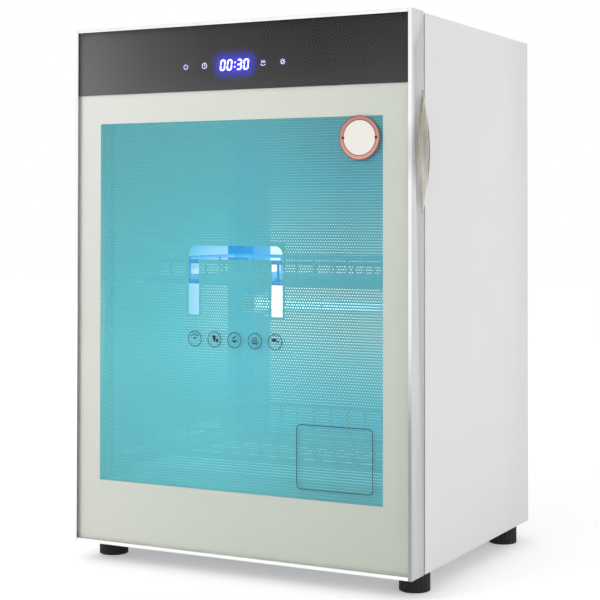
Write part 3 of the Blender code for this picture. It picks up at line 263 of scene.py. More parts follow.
# %% [markdown]
# ## Anodised aluminium
# The door frame is an extruded 6063 alloy section. It is brushed along its length and then
# anodised, which leaves a soft satin sheen with fine streaks that run with the bar. Real
# streaks are some 0.05 mm wide; they are drawn 0.5 mm wide here so that they still show.
# The narrow front lip is polished, and its brighter tone is partly a painted highlight. Over
# the lower third the stiles' sides, and much more the right stile's lip, carry a painted shade,
# darker for the dimmer reflection near the foot. The side is also painted darker just in front
# of the finger cup, a painted shade of the edge that rolls into the cup.

# %% Painted shade near the foot and in front of the finger cup
FOOT_SHADE_FROM, FOOT_SHADE_TO = 0.33, 0.18
STILE_SIDE_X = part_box("door_stile_right")[1].x
# Painted shade in front of the finger cup: full within the first distance, gone beyond the
# second.
CUP_SHADE_FULL, CUP_SHADE_GONE = 4 * MM, 13 * MM
CUP_SHADE_ROUND_EDGE = 3 * MM
CUP_SHADE_SHARE_ALONG = 0.3

cup_low, cup_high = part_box("handle_cup")
CUP_MIDDLE = (cup_low.z + cup_high.z) / 2


def painted_foot_shade(tree, place, tone, foot_shade_tone):
    """Painted shade: the tone made darker near the foot by the given factor, and left alone
    higher up.
    """
    share = between(tree, xyz(tree, place)[2], foot_shade_tone, 1.0, FOOT_SHADE_TO, FOOT_SHADE_FROM)
    return mixed(tree, 1.0, tone, share, "MULTIPLY")


def painted_cup_shade(tree, place, tone, cup_shade_tone):
    """Painted shade: the tone multiplied by a darker factor in front of the middle of the finger
    cup.
    """
    across, back, up = xyz(tree, place)
    aside = beyond(tree, across, STILE_SIDE_X, CUP_SHADE_ROUND_EDGE)
    along = calc(tree, "MULTIPLY", beyond(tree, up, CUP_MIDDLE), CUP_SHADE_SHARE_ALONG)
    off = distance(tree, aside, beyond(tree, back, cup_low.y), along)
    share = between(tree, off, cup_shade_tone, 1.0, CUP_SHADE_FULL, CUP_SHADE_GONE)
    return mixed(tree, 1.0, tone, share, "MULTIPLY")


print("cup middle:", round(CUP_MIDDLE, 4), "stile side:", round(STILE_SIDE_X, 4))

# %% [markdown]
# Four aluminium finishes differ in the way their streaks run, in their two tones, in their
# smoothest and roughest value, and in how much painted shade they carry near the foot.

# %% Aluminium for upright and level bars
ALUMINIUM_CUP_SHADE_TONE = 0.6
ALUMINIUM = {
    "brushed_anodised_aluminium_upright": ("Z", "#dadbdb", "#cdcfcf", 0.26, 0.38, 0.84),
    "brushed_anodised_aluminium_level": ("X", "#d9dadb", "#cbcccd", 0.26, 0.38),
    # The lips' bright tones are partly polish and partly a painted highlight.
    "polished_aluminium_lip": ("Z", "#fbfbf9", "#f2f3f0", 0.16, 0.26),
    "shaded_polished_aluminium_lip": ("Z", "#fbfbf9", "#f0f1ee", 0.16, 0.26, 0.37),
}


def anodised_aluminium(name, along, light, dark, smooth, rough, foot_shade_tone=None):
    finish, tree, shader, place = new_finish(name, light, Metallic=1.0)
    streaks = grain(tree, place, 0.5, 90, along)
    clouds = grain(tree, place, 16, 170, along, detail=1.0)
    tone = shades(tree, between(tree, clouds, 0, 1), [(0, dark), (1, light)])
    # Painted shade near the foot and in front of the finger cup.
    if foot_shade_tone:
        tone = painted_cup_shade(tree, place, painted_foot_shade(tree, place, tone, foot_shade_tone), ALUMINIUM_CUP_SHADE_TONE)
    feed(tree, shader, Base_Color=tone, Roughness=between(tree, streaks, smooth, rough))
    roughen(tree, shader, streaks, 0.01, 0.25)
    return finish


aluminium_upright, aluminium_level, polished_lip, shaded_lip = [
    anodised_aluminium(name, *look) for name, look in ALUMINIUM.items()
]
print("aluminium:", list(ALUMINIUM))

# %% [markdown]
# ## Powder-coated steel
# The outer panels are folded steel with a baked white powder coat. Such a coat has a low
# gloss and a faint orange peel about 1 mm across, which softens every reflection.

# %% White powder coat
def powder_coat(name, colour, roughness):
    finish, tree, shader, place = new_finish(name, colour, Roughness=roughness)
    peel = grain(tree, place, 1.2, detail=2.0)
    clouds = grain(tree, place, 60, detail=1.0)
    feed(tree, shader, Roughness=between(tree, clouds, roughness - 0.05, roughness + 0.06))
    roughen(tree, shader, peel, 0.03, 0.35)
    return finish


white_coat = powder_coat("white_powder_coated_steel", "#e5e5e5", 0.36)
print("panel coat:", white_coat.name)

# %% [markdown]
# ## Stainless steel in the lamp's light
# The inside is brushed 201 stainless sheet. The ultraviolet lamp at the back bathes it in
# blue: nearly white close to the tube, sky blue further off, teal grey at the door. The
# sockets shade the two rear corners, which are a deeper blue. A real camera sees that light
# after it has bounced between the walls many times, which is slow to trace, so the sheet
# carries the glow itself, by its distance from the tube, and keeps the metal's own sheen.

# %% Where the lamp is, and how its light fades
lamp_low, lamp_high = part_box("uv_lamp")
LAMP_CENTRE = (lamp_low + lamp_high) / 2
LAMP_HALF_LENGTH = (lamp_high.x - lamp_low.x) / 2
GLOW_DROP, GLOW_LIFT = 20 * MM, 22 * MM
GLOW_REACH = 0.36
SHEET_GLOW = [
    (0.06, "#ffffff"), (0.14, "#ccefff"), (0.27, "#96dcfb"), (0.39, "#4fc4ef"),
    (0.5, "#48b2d2"), (0.65, "#46a4b4"), (1.0, "#3d94a2"),
]
GUARD_GLOW = [(0.08, "#f6fcff"), (0.16, "#58c0f2"), (0.3, "#1a98d6"), (1.0, "#2486aa")]
WIRE_GLOW = [(0.0, "#4cb8ee"), (0.3, "#1a98d6"), (1.0, "#2488b0")]
FAR_WIRE_GLOW = [(0.3, "#3fa9d0"), (0.6, "#4fabbd"), (1.0, "#4a9fac")]
STRIP_GLOW = [(0.2, "#c4ecff"), (0.42, "#98dcfa"), (0.6, "#4cb4d6"), (1.0, "#3d94a2")]
TRAY_GLOW = [(0.4, "#8adcf0"), (1.0, "#5eb0bc")]
print("lamp centre:", [round(v, 3) for v in LAMP_CENTRE], "reach of its glow:", GLOW_REACH)

# %% [markdown]
# The glow belongs to the cavity alone, so one test finds what stands inside the liner or
# forms its inner faces. A second finds the two rear corners and gives them their own shades.

# %% The lit cavity and its shaded corners
CAVITY_FRONT_Y = -0.2
CAVITY_LOW = Vector((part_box("liner_left")[1].x, CAVITY_FRONT_Y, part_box("liner_floor")[1].z))
CAVITY_HIGH = Vector(
    (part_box("liner_right")[0].x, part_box("liner_back")[0].y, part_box("liner_top")[0].z)
)
CAVITY_MARGIN, CAVITY_EDGE = 0.3 * MM, 0.01 * MM
CORNER_SHADES = [(0.0, "#58b8ee"), (0.46, "#4cb0ec"), (0.54, "#009fea"), (1.0, "#0098e0")]
CORNER_START, CORNER_END = 139 * MM, CAVITY_HIGH.x


def in_cavity(tree, across, back, up):
    """One on the inner faces of the liner and on all that stands inside it, zero elsewhere."""
    middle = (CAVITY_LOW + CAVITY_HIGH) / 2
    half = (CAVITY_HIGH - CAVITY_LOW) / 2 + Vector((1, 1, 1)) * CAVITY_MARGIN
    outside = [beyond(tree, *span) for span in zip((across, back, up), middle, half)]
    return calc(tree, "LESS_THAN", distance(tree, *outside), CAVITY_EDGE)


def shaded_corner(tree, share, colour, across, back):
    """The lamp's sockets keep its direct light off the two rear corners of the liner."""
    off_middle = beyond(tree, across, LAMP_CENTRE.x)
    spread = between(tree, off_middle, 0, 1, CORNER_START, CORNER_END)
    behind = between(tree, back, 0, 1, LAMP_CENTRE.y - MM, LAMP_CENTRE.y + MM)
    beside = between(tree, off_middle, 0, 1, CORNER_START - MM, CORNER_START + MM)
    inside = calc(tree, "MULTIPLY", beside, behind)
    dimmed = shades(tree, spread, CORNER_SHADES)
    dimmed = mixed(tree, between(tree, share, 0, 0.7, 0.3, 0.7), dimmed, colour)
    return inside, mixed(tree, inside, colour, dimmed)


print("cavity:", [round(v, 3) for v in CAVITY_HIGH - CAVITY_LOW])

# %% [markdown]
# Near and far are the strength of the glow beside the tube and at the end of its reach.
# A rise above one makes it fade faster upwards than sideways, as on the side walls.

# %% A shader that carries the lamp's glow
NEAR_SHARE, FAR_SHARE = 0.06, 0.6
CORNER_STRENGTH = 0.95


def lamp_glow(tree, shader, place, stops, near, far, rise=1.0, corners=False):
    across, back, up = xyz(tree, place)
    beside = beyond(tree, across, LAMP_CENTRE.x, LAMP_HALF_LENGTH)
    glow_middle = LAMP_CENTRE.z + (GLOW_LIFT - GLOW_DROP) / 2
    lowered = beyond(tree, up, glow_middle, (GLOW_LIFT + GLOW_DROP) / 2)
    raised = calc(tree, "MULTIPLY", lowered, rise)
    from_lamp = distance(tree, beside, beyond(tree, back, LAMP_CENTRE.y), raised)
    share = between(tree, from_lamp, 0, 1, 0, GLOW_REACH)
    colour = shades(tree, share, stops)
    strength = between(tree, share, near, far, NEAR_SHARE, FAR_SHARE)
    if corners:
        inside, colour = shaded_corner(tree, share, colour, across, back)
        strength = between(tree, inside, strength, CORNER_STRENGTH, 0, 1)
    strength = calc(tree, "MULTIPLY", strength, in_cavity(tree, across, back, up))
    feed(tree, shader, Emission_Color=colour, Emission_Strength=strength)


print("half length of the tube:", round(LAMP_HALF_LENGTH, 3))

# %% [markdown]
# Sheet, wire and the small pressed parts share that recipe. The streaks of a sheet run the
# way it was rolled; wire is drawn and electropolished, so it is smoother and glows less.
# Each row gives the streaks' way, the smoothest and roughest value, the tone and the glow.

# %% Stainless sheet and wire
STAINLESS = {
    "brushed_stainless_side_sheet": ("Y", 0.3, 0.42, "#3e4143", SHEET_GLOW, 1.0, 0.85, 1.7, True),
    "brushed_stainless_back_sheet": ("X", 0.3, 0.42, "#3e4143", SHEET_GLOW, 1.2, 1.25, 1.0, True),
    "brushed_stainless_duct_sheet": ("Z", 0.3, 0.42, "#3e4143", SHEET_GLOW, 1.2, 1.1),
    "pressed_stainless_strip": ("Y", 0.26, 0.38, "#3e4143", STRIP_GLOW, 1.0, 0.8),
    "pressed_stainless_tray": ("X", 0.26, 0.38, "#85888a", TRAY_GLOW, 0.9, 0.8),
    "electropolished_stainless_wire": ("Y", 0.12, 0.22, "#7c8083", WIRE_GLOW, 0.95, 0.9),
    # The lower basket's wire is a darker copy with its own glow: painted shade, further from the
    # lamp.
    "electropolished_stainless_low_wire": ("Y", 0.12, 0.22, "#6c7073", FAR_WIRE_GLOW, 0.95, 0.95),
    "welded_stainless_guard_wire": ("X", 0.12, 0.22, "#7c8083", GUARD_GLOW, 0.95, 0.6),
}


def stainless(name, along, smooth, rough, colour, *glow):
    finish, tree, shader, place = new_finish(name, colour, Metallic=1.0)
    streaks = grain(tree, place, 0.6, 70, along)
    feed(tree, shader, Roughness=between(tree, streaks, smooth, rough))
    roughen(tree, shader, streaks, 0.01, 0.2)
    lamp_glow(tree, shader, place, *glow)
    return finish


liner_side_sheet, liner_back_sheet, duct_sheet, small_sheet, tray_sheet, *wire_finishes = [
    stainless(name, *look) for name, look in STAINLESS.items()
]
stainless_wire, far_wire, guard_wire = wire_finishes
print("stainless:", list(STAINLESS))

# %% [markdown]
# ## Zinc-plated steel
# The base pan, the brackets, the pins and the screws are zinc plated. The plating is greyer
# than stainless and shows pale crystal patches, which a Voronoi pattern draws well.

# %% Zinc plate
CRYSTAL = 7 * MM


def zinc_plate(name):
    finish, tree, shader, place = new_finish(name, "#a9adb0", Metallic=1.0)
    plugs = {"Vector": place, "Scale": 1 / CRYSTAL}
    crystals = add_node(tree, "ShaderNodeTexVoronoi", plugs).outputs["Color"]
    patch = add_node(tree, "ShaderNodeSeparateColor", {"Color": crystals}).outputs["Red"]
    tone = shades(tree, patch, [(0, "#9a9ea2"), (1, "#b9bdbf")])
    feed(tree, shader, Base_Color=tone, Roughness=between(tree, patch, 0.34, 0.5, 0, 1))
    return finish


zinc_steel = zinc_plate("zinc_plated_steel")
print("zinc:", zinc_steel.name)

# %% [markdown]
# ## Satin nickel
# The finger cup is die-cast zinc with a warm satin nickel plate. It is duller than the
# aluminium round it, so fingers leave no marks, and it looks soft and slightly beige. It is
# painted lighter towards its foot, a painted reflection, and painted darker in the middle, a
# painted shade like the one on the stile in front of it.

# %% Nickel for the finger cup
NICKEL_CUP_SHADE_TONE = 0.5


def satin_nickel(name):
    finish, tree, shader, place = new_finish(name, "#bdb9b1", Metallic=1.0)
    brush = grain(tree, place, 0.7, 26, "Z")
    clouds = grain(tree, place, 2.6, 34, "Z", detail=2.0)
    # Painted reflection: lighter towards the foot.
    reflection_to_foot = between(tree, xyz(tree, place)[2], 0.45, 0, 0.415, 0.53)
    share = calc(tree, "ADD", between(tree, clouds, 0, 0.55), reflection_to_foot)
    tone = shades(tree, share, [(0, "#b6b4ac"), (0.45, "#d6d3cd"), (1, "#f6f4f1")])
    # Painted shade in the middle, as on the stile in front of the cup.
    tone = painted_cup_shade(tree, place, tone, NICKEL_CUP_SHADE_TONE)
    feed(tree, shader, Base_Color=tone, Roughness=between(tree, brush, 0.2, 0.36))
    roughen(tree, shader, brush, 0.03, 0.4)
    return finish


nickel = satin_nickel("satin_nickel_plate")
print("cup plate:", nickel.name)

# %% [markdown]
# ## Rubber, plastics and ceramic
# The feet and the gasket are moulded rubber, the housings are moulded ABS and the lamp
# sockets are steatite, a matt ceramic. Each has a fine moulded grain, so each takes its
# colour, its roughness, and the size and depth of its grain in mm from one small table.

# %% Moulded materials
MOULDED = {
    "black_nbr_rubber": ("#060605", 0.72, 0.7, 0.03),
    "black_moulded_abs": ("#1b1b1d", 0.48, 0.9, 0.02),
    "grey_moulded_pom": ("#9a9c9e", 0.45, 0.9, 0.02),
    "steatite_ceramic": ("#d9d4c8", 0.72, 0.8, 0.02),
    "green_coated_circuit_board": ("#2f6b45", 0.42, 1.4, 0.03),
}


def moulded(name, colour, roughness, grain_mm, depth_mm):
    finish, tree, shader, place = new_finish(name, colour, Roughness=roughness)
    speck = grain(tree, place, grain_mm)
    feed(tree, shader, Roughness=between(tree, speck, roughness - 0.08, roughness + 0.08))
    roughen(tree, shader, speck, depth_mm, 0.4)
    return finish


rubber, abs_black, pom_grey, steatite, board_green = [
    moulded(name, *look) for name, look in MOULDED.items()
]
print("moulded:", list(MOULDED))

# %% [markdown]
# ## Clear glass
# The door's lower pane is 4 mm tempered glass with a thin anti-glare coat, so it mirrors
# less than plain glass, and its IOR is set lower than the usual 1.5 for that.
# Lamp light would take very long to find its way through a bending surface, so for shadow
# rays alone the pane is simply open.

# %% Clear tempered glass
def clear_glass(name):
    finish, tree, shader, _ = new_finish(
        name, "#ffffff", Roughness=0.0, IOR=1.32, Transmission_Weight=1.0
    )
    shadow = add_node(tree, "ShaderNodeLightPath").outputs["Is Shadow Ray"]
    open_way = add_node(tree, "ShaderNodeBsdfTransparent").outputs["BSDF"]
    plugs = {0: shadow, 1: shader.outputs["BSDF"], 2: open_way}
    show_instead(tree, add_node(tree, "ShaderNodeMixShader", plugs).outputs["Shader"])
    return finish


tempered_glass = clear_glass("clear_tempered_glass")
print("glass:", tempered_glass.name)

# %% [markdown]
# ## Enamelled glass
# The upper pane is the same clear glass with black enamel fired on its back, so it reads as
# deep glossy black, and the clock shines out from behind the glass. Towards its left end the
# tone lifts to a mid grey, a painted reflection of a lit wall off to the left, and it lifts a
# little towards its lower edge. The clock's blue light spreads some millimetres round the
# digits, and a little round each icon.

# %% Places on the door
DOOR_LEFT = -0.215
DOOR_BOTTOM = 0.022


def from_door(across_mm, up_mm):
    """A place on the door's face, measured from its lower left corner."""
    return DOOR_LEFT + across_mm * MM, DOOR_BOTTOM + up_mm * MM


CLOCK_CENTRE = from_door(213.8, 548.3)
CLOCK_HALF_WIDTH = 16.5 * MM
CLOCK_HALF_HEIGHT = 3.5 * MM
ICONS = {
    "power": from_door(150.0, 548.3),
    "timer": from_door(174.7, 548.6),
    "warm_air": from_door(249.8, 548.6),
    "sun_lamp": from_door(274.5, 548.8),
}
print("clock at", [round(v, 4) for v in CLOCK_CENTRE], "icons:", sorted(ICONS))

# %% [markdown]
# Each light adds a share of glow that is full at its edge and gone at its reach. The largest
# share wins, and squaring it makes the glow fall off quickly at first, as real light does.

# %% Black enamel with the glow of its lights
CLOCK_GLOW_REACH, CLOCK_GLOW = 16 * MM, 0.95
ICON_GLOW_REACH, ICON_GLOW = 5 * MM, 0.22
ICON_HALF = 1.5 * MM
ENAMEL_HALF_WIDTH = 0.205
ENAMEL_LOW_LIFT, ENAMEL_HIGH_LIFT = 0.012, -0.01
ENAMEL_REFLECTION_TONES = [
    (0.02, "#696969"), (0.14, "#585858"), (0.22, "#4e4e4e"), (0.3, "#464646"),
    (0.39, "#3d3d3d"), (0.64, "#323232"), (0.75, "#2e2e2e"), (1.0, "#343434"),
]


def glow_share(tree, across, up, centre, half_width, half_height, reach, strength):
    aside = beyond(tree, across, centre[0], half_width)
    off = distance(tree, aside, 0.0, beyond(tree, up, centre[1], half_height))
    share = between(tree, off, 1.0, 0.0, 0.0, reach)
    return calc(tree, "MULTIPLY", calc(tree, "POWER", share, 2.0), strength)


def enamelled_glass(name):
    finish, tree, shader, place = new_finish(name, "#101010", Roughness=0.3, IOR=1.05)
    across, _, up = xyz(tree, place)
    # Painted reflection: the tone lifts towards the left end.
    share = between(tree, across, 0, 1, -ENAMEL_HALF_WIDTH, ENAMEL_HALF_WIDTH)
    low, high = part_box("control_glass")
    lift = between(tree, up, ENAMEL_LOW_LIFT, ENAMEL_HIGH_LIFT, low.z, high.z)
    tone = mixed(tree, 1.0, shades(tree, share, ENAMEL_REFLECTION_TONES), lift, "ADD")
    clock = (CLOCK_CENTRE, CLOCK_HALF_WIDTH, CLOCK_HALF_HEIGHT, CLOCK_GLOW_REACH, CLOCK_GLOW)
    glow = glow_share(tree, across, up, *clock)
    for centre in ICONS.values():
        icon = (centre, ICON_HALF, ICON_HALF, ICON_GLOW_REACH, ICON_GLOW)
        glow = calc(tree, "MAXIMUM", glow, glow_share(tree, across, up, *icon))
    shader.inputs["Emission Color"].default_value = paint("#2222ff")
    feed(tree, shader, Base_Color=tone, Emission_Strength=glow)
    return finish


black_enamel = enamelled_glass("black_glass_enamel")
print("enamel:", black_enamel.name, "with", 1 + len(ICONS), "glows")

# %% [markdown]
# ## Printed films
# Behind the clear pane lie a cream border and a teal sheet, both screen-printed polyester.
# The ink is opaque and even, and has hardly any gloss of its own, because it lies against the
# glass. Light and shade are painted over it: the cream is lightest at the upper left and greyer
# towards the lower right, and the teal is lightest about the middle, where the lit cavity glows
# behind it, deeper at the right and the top, and a little deeper at the left and the foot. Each
# slope is one number that grows across or up the door, and a ramp turns their sum to a tone.

# %% Cream and teal ink
# Painted light: the teal is lightest about this point.
TEAL_LIGHT_CENTRE = (-0.02, 0.25)
INKS = {
    "cream_printed_polyester": (
        [("X", 0, 0.5, -0.2, 0.2), ("Z", 0.35, 0, 0.05, 0.54)],
        ["#d5d7d0", "#b4baad"],
    ),
    "teal_printed_polyester": (
        [
            ("X", 0, 0.46, TEAL_LIGHT_CENTRE[0], 0.13), ("X", 0.1, 0, -0.18, TEAL_LIGHT_CENTRE[0]),
            ("Z", 0, 0.56, TEAL_LIGHT_CENTRE[1], 0.5), ("Z", 0.21, 0, 0.1, TEAL_LIGHT_CENTRE[1]),
        ],
        ["#55bcc4", "#4a8b92"],
    ),
}


def film_ink(name, slopes, tones):
    finish, tree, shader, place = new_finish(name, tones[0], Roughness=0.4, IOR=1.08)
    where = dict(zip("XYZ", xyz(tree, place)))
    share = 0.0
    for axis, *slope in slopes:
        share = calc(tree, "ADD", between(tree, where[axis], *slope), share)
    feed(tree, shader, Base_Color=shades(tree, share, [(0, tones[0]), (1, tones[1])]))
    return finish


cream_film, teal_film = [film_ink(name, *look) for name, look in INKS.items()]
print("films:", list(INKS))

# %% [markdown]
# ## Lit parts
# The ultraviolet lamp shows as a blue-white tube. The clock digits and touch icons are
# small white LEDs behind the enamel. All are Emission: the lamp is strong enough to light
# its cavity, the signs only strong enough to read as lit.

# %% Lit finishes
def lit(name, colour, strength, light_colour):
    finish, _, shader, _ = new_finish(name, colour, Roughness=0.3)
    shader.inputs["Emission Color"].default_value = paint(light_colour)
    shader.inputs["Emission Strength"].default_value = strength
    return finish


lamp_light = lit("lit_quartz_lamp_tube", "#e6f6ff", 2.6, "#b4e6ff")
digit_light = lit("lit_white_led_digit", "#ffffff", 1.25, "#f6f8ff")
icon_light = lit("lit_white_led_icon", "#ffffff", 1.2, "#dfe4ff")
print("lit:", lamp_light.name, digit_light.name, icon_light.name)

# %% [markdown]
# ## Inks, paper and foil
# The line signs on the window are dark ink on the front of the glass. The round seal near
# its upper right corner is a cream paper disc inside a ring of rose-copper foil, which is
# edged by two darker lines. The foil is lighter at its foot than at its top.

# %% Ink, paper and foil
FOIL_LOW, FOIL_HIGH = from_door(0, 440)[1], from_door(0, 487)[1]


def plain_ink(name, colour, roughness):
    finish, tree, shader, place = new_finish(name, colour, Roughness=roughness)
    roughen(tree, shader, grain(tree, place, 0.3), 0.01, 0.3)
    return finish


def copper_foil(name, light, dark):
    finish, tree, shader, place = new_finish(name, light, Metallic=0.35)
    share = between(tree, xyz(tree, place)[2], 0, 1, FOIL_LOW, FOIL_HIGH)
    tone = shades(tree, share, [(0, light), (1, dark)])
    crinkle = between(tree, grain(tree, place, 1.1), 0.26, 0.42)
    feed(tree, shader, Base_Color=tone, Roughness=crinkle)
    return finish


sign_ink = plain_ink("dark_screen_printed_ink", "#0c2226", 0.5)
foil = copper_foil("rose_copper_foil", "#e49c8d", "#c27f74")
foil_edge = copper_foil("dark_copper_foil_edge", "#9c5f56", "#7d4c46")
seal_paper = plain_ink("cream_coated_paper", "#eceae2", 0.55)
print("prints:", sign_ink.name, foil.name, foil_edge.name, seal_paper.name)

# %% [markdown]
# ## Finishes for the CAD nodes
# Every node keeps its solid unless a finer piece replaces it later, so each gets a finish
# now. Most follow the record's material slot; a few bars and sheets need their streaks to
# run another way, and are named one by one.

# %% Give every node its finish
BY_SLOT = {
    "white_paint": white_coat,
    "zinc_steel": zinc_steel,
    "stainless": small_sheet,
    "aluminium": aluminium_upright,
    "black_rubber": rubber,
    "black_plastic": abs_black,
    "grey_plastic": pom_grey,
    "quartz_tube": lamp_light,
    "ceramic": steatite,
    "board_green": board_green,
    "clear_glass": tempered_glass,
    "dark_glass": tempered_glass,
    "cream_film": cream_film,
    "teal_film": teal_film,
    "display_black": abs_black,
}
BY_NODE = {
    **dict.fromkeys(("door_rail_top", "door_rail_bottom", "door_mid_rail"), aluminium_level),
    **dict.fromkeys(("liner_left", "liner_right", "liner_top", "liner_floor"), liner_side_sheet),
    "liner_back": liner_back_sheet,
    "handle_cup": nickel,
    "air_duct_cover": duct_sheet,
    "lamp_guard": guard_wire,
    "drip_tray": tray_sheet,
}


def give_finish(piece, finish):
    piece.data.materials.clear()
    piece.data.materials.append(finish)


slot_of = {part["node"]: part["material_slot"] for part in frame["record"]["subparts"]}
for node_name, node in nodes.items():
    give_finish(node, BY_NODE.get(node_name, BY_SLOT[slot_of[node_name]]))
print("nodes with a finish:", len(nodes))

# %% [markdown]
# ## Putting a piece in place
# Every finished piece rides on a body and may stand for a CAD node, which is then hidden. Its
# mesh is smooth where faces meet at a low angle, and creased where they meet at a steep one,
# so a round stays round and an edge stays an edge.

# %% Helpers for finished pieces
CREASE_DEGREES = 28


def finished_piece(piece, body, slot, *replaced):
    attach(piece, body)
    if replaced:
        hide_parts(*replaced)
    return piece


def smooth_object(name, mesh):
    """An object from a mesh, smooth apart from its creases."""
    mesh.shade_smooth()
    mesh.set_sharp_from_angle(angle=math.radians(CREASE_DEGREES))
    return new_object(name, mesh)


def mesh_piece(name, work, *finishes):
    """A named object from a bmesh, in one or more finishes."""
    mesh = bpy.data.meshes.new(name)
    work.to_mesh(mesh)
    work.free()
    for finish in finishes:
        mesh.materials.append(finish)
    return smooth_object(name, mesh)


def evaluated_mesh(piece):
    """What a piece's modifiers make of it, as a plain mesh."""
    bpy.context.view_layer.update()
    graph = bpy.context.evaluated_depsgraph_get()
    return bpy.data.meshes.new_from_object(piece.evaluated_get(graph))


print("edges sharper than", CREASE_DEGREES, "degrees stay creased")

# %% [markdown]
# A shape built by hand comes as rows of points to be joined up, as a flat outline to be
# given a thickness, or as faces that must look one way. Each of these is one small function.

# %% Helpers for hand-built meshes
def stitch(work, rows, closed=False):
    """Four-sided faces between each row of corners and the next."""
    for low, high in zip(rows, rows[1:]):
        for step in range(len(low) if closed else len(low) - 1):
            after = (step + 1) % len(low)
            work.faces.new((low[step], high[step], high[after], low[after]))


def push_faces(work, push):
    """Gives flat faces a thickness, and turns all faces outwards."""
    raised = bmesh.ops.extrude_face_region(work, geom=work.faces[:], use_keep_orig=True)["geom"]
    tops = [part for part in raised if isinstance(part, bmesh.types.BMVert)]
    bmesh.ops.translate(work, verts=tops, vec=push)
    bmesh.ops.recalc_face_normals(work, faces=work.faces)


def look_towards(work, way):
    """Flips each face that looks away from a direction."""
    for face in work.faces:
        face.normal_update()
        if face.normal.dot(way) < 0:
            face.normal_flip()


print("mesh helpers ready")

# %% [markdown]
# ## Softer edges
# A machined CAD edge is perfectly sharp, and real sheet or extrusion never is. We take a
# merged copy of a node, round its edges by a few tenths of a millimetre and let the copy
# stand for the node. The tiny round catches a line of light, which makes the edge look real.

# %% A rounded copy of a hard-edged node
DOOR_FRONT_Y = cad_box[0][1]
FLAT_DEGREES, HARD_EDGE_DEGREES = 1, 40
NODE_MERGE, POINT_MERGE = 2e-6, 1e-6
FACING = 0.6


def rounded_copy(node_name, width_mm, second_finish=None, takes_second=None):
    """A copy with rounded edges. Faces that pass the test takes_second get the second finish."""
    source = nodes[node_name].data
    work = bmesh.new()
    work.from_mesh(source)
    bmesh.ops.remove_doubles(work, verts=work.verts, dist=NODE_MERGE)
    flat = math.radians(FLAT_DEGREES)
    bmesh.ops.dissolve_limit(work, angle_limit=flat, verts=work.verts, edges=work.edges)
    steep = math.radians(HARD_EDGE_DEGREES)
    whole = [edge for edge in work.edges if len(edge.link_faces) == 2]
    hard = [edge for edge in whole if edge.calc_face_angle() > steep]
    settings = {"segments": 2, "affect": "EDGES", "profile": 0.5, "clamp_overlap": True}
    bmesh.ops.bevel(work, geom=hard, offset=width_mm * MM, **settings)
    finishes = [source.materials[0]]
    if second_finish:
        finishes.append(second_finish)
        for face in work.faces:
            face.material_index = int(takes_second(face))
    piece = mesh_piece(node_name + "_rounded", work, *finishes)
    return finished_piece(piece, nodes[node_name]["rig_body"], slot_of[node_name], node_name)


def looks_front(face):
    return face.normal.y < -FACING and face.calc_center_median().y < DOOR_FRONT_Y + MM


def looks_back(face):
    return face.normal.y > FACING


print("the door's front lies at", round(DOOR_FRONT_Y, 4))

# %% [markdown]
# The frame's bars have a second, brighter finish on their front lip, and the upper pane has
# its enamel on the back. Thicker and moulded pieces have a wider round than sheet steel.

# %% Round the edges
FRAME_BARS = ("door_stile_left", "door_stile_right", "door_rail_top", "door_rail_bottom")
FRAME_ROUND_MM, PANE_ROUND_MM = 0.25, 0.15
ROUNDS_MM = (
    (0.4, "side_panel_left", "side_panel_right"),
    (0.3, "top_panel", "rear_cover", "front_collar"),
    (0.8, "control_housing"),
    (0.6, "stile_plug_top", "stile_plug_bottom"),
    (0.4, "hinge_bush_top", "hinge_bush_bottom"),
    (0.3, "hinge_bracket_top", "hinge_bracket_bottom", "catch_plate"),
    (1.5, "lamp_socket_left", "lamp_socket_right"),
    (0.4, "drip_tray"),
    (0.6, "lamp_ballast"),
)
bars = {}
for node_name in FRAME_BARS:
    lip_finish = shaded_lip if node_name == "door_stile_right" else polished_lip
    bars[node_name] = rounded_copy(node_name, FRAME_ROUND_MM, lip_finish, looks_front)
rounded = [rounded_copy(name, width) for width, *names in ROUNDS_MM for name in names]
rounded.append(rounded_copy("control_glass", PANE_ROUND_MM, black_enamel, looks_back))
print("rounded copies:", len(rounded), "faces:", sum(len(p.data.polygons) for p in rounded))

# %% [markdown]
# ## The finger cup
# The door has no bar to pull: fingers reach into a scooped cup in the right stile, whose rear
# wall bulges out past the door's edge. The CAD solid is a plain box with a lens-shaped mouth.
# The pressed cup is softer: its front edge rolls in from the stile's side, its floor sinks
# and then turns up into the rear wall. We first cut the stile's mouth a little wider, to make
# room for that rolled edge, with a Boolean that is applied at once.

# %% Widen the mouth in the stile
CUP_HALF = 65.5 * MM
CUP_CHORD_Y = -0.1506
CUP_REACH = 19.5 * MM
MOUTH_SLACK = 0.3 * MM
CUTTER_DEPTH, CUTTER_LENGTH = 3 * MM, 5 * MM


def bow(half_length, rise, steps=24):
    """Points (along, height) of a shallow bow over a chord."""
    shares = [2 * step / steps - 1 for step in range(steps + 1)]
    return [(share * half_length, rise * (1 - share * share)) for share in shares]


def prism(name, outline, push):
    """A closed outline pushed along a direction, as a mesh object."""
    work = bmesh.new()
    work.faces.new([work.verts.new(corner) for corner in outline])
    push_faces(work, push)
    return mesh_piece(name, work, nickel)


def cut_away(piece, cutter):
    """Applies a Boolean difference and keeps the piece's name, body and finishes."""
    modifier = piece.modifiers.new("cut", "BOOLEAN")
    modifier.operation, modifier.solver, modifier.object = "DIFFERENCE", "EXACT", cutter
    mesh = evaluated_mesh(piece)
    piece.modifiers.clear()
    piece.data = mesh
    bpy.data.objects.remove(cutter)


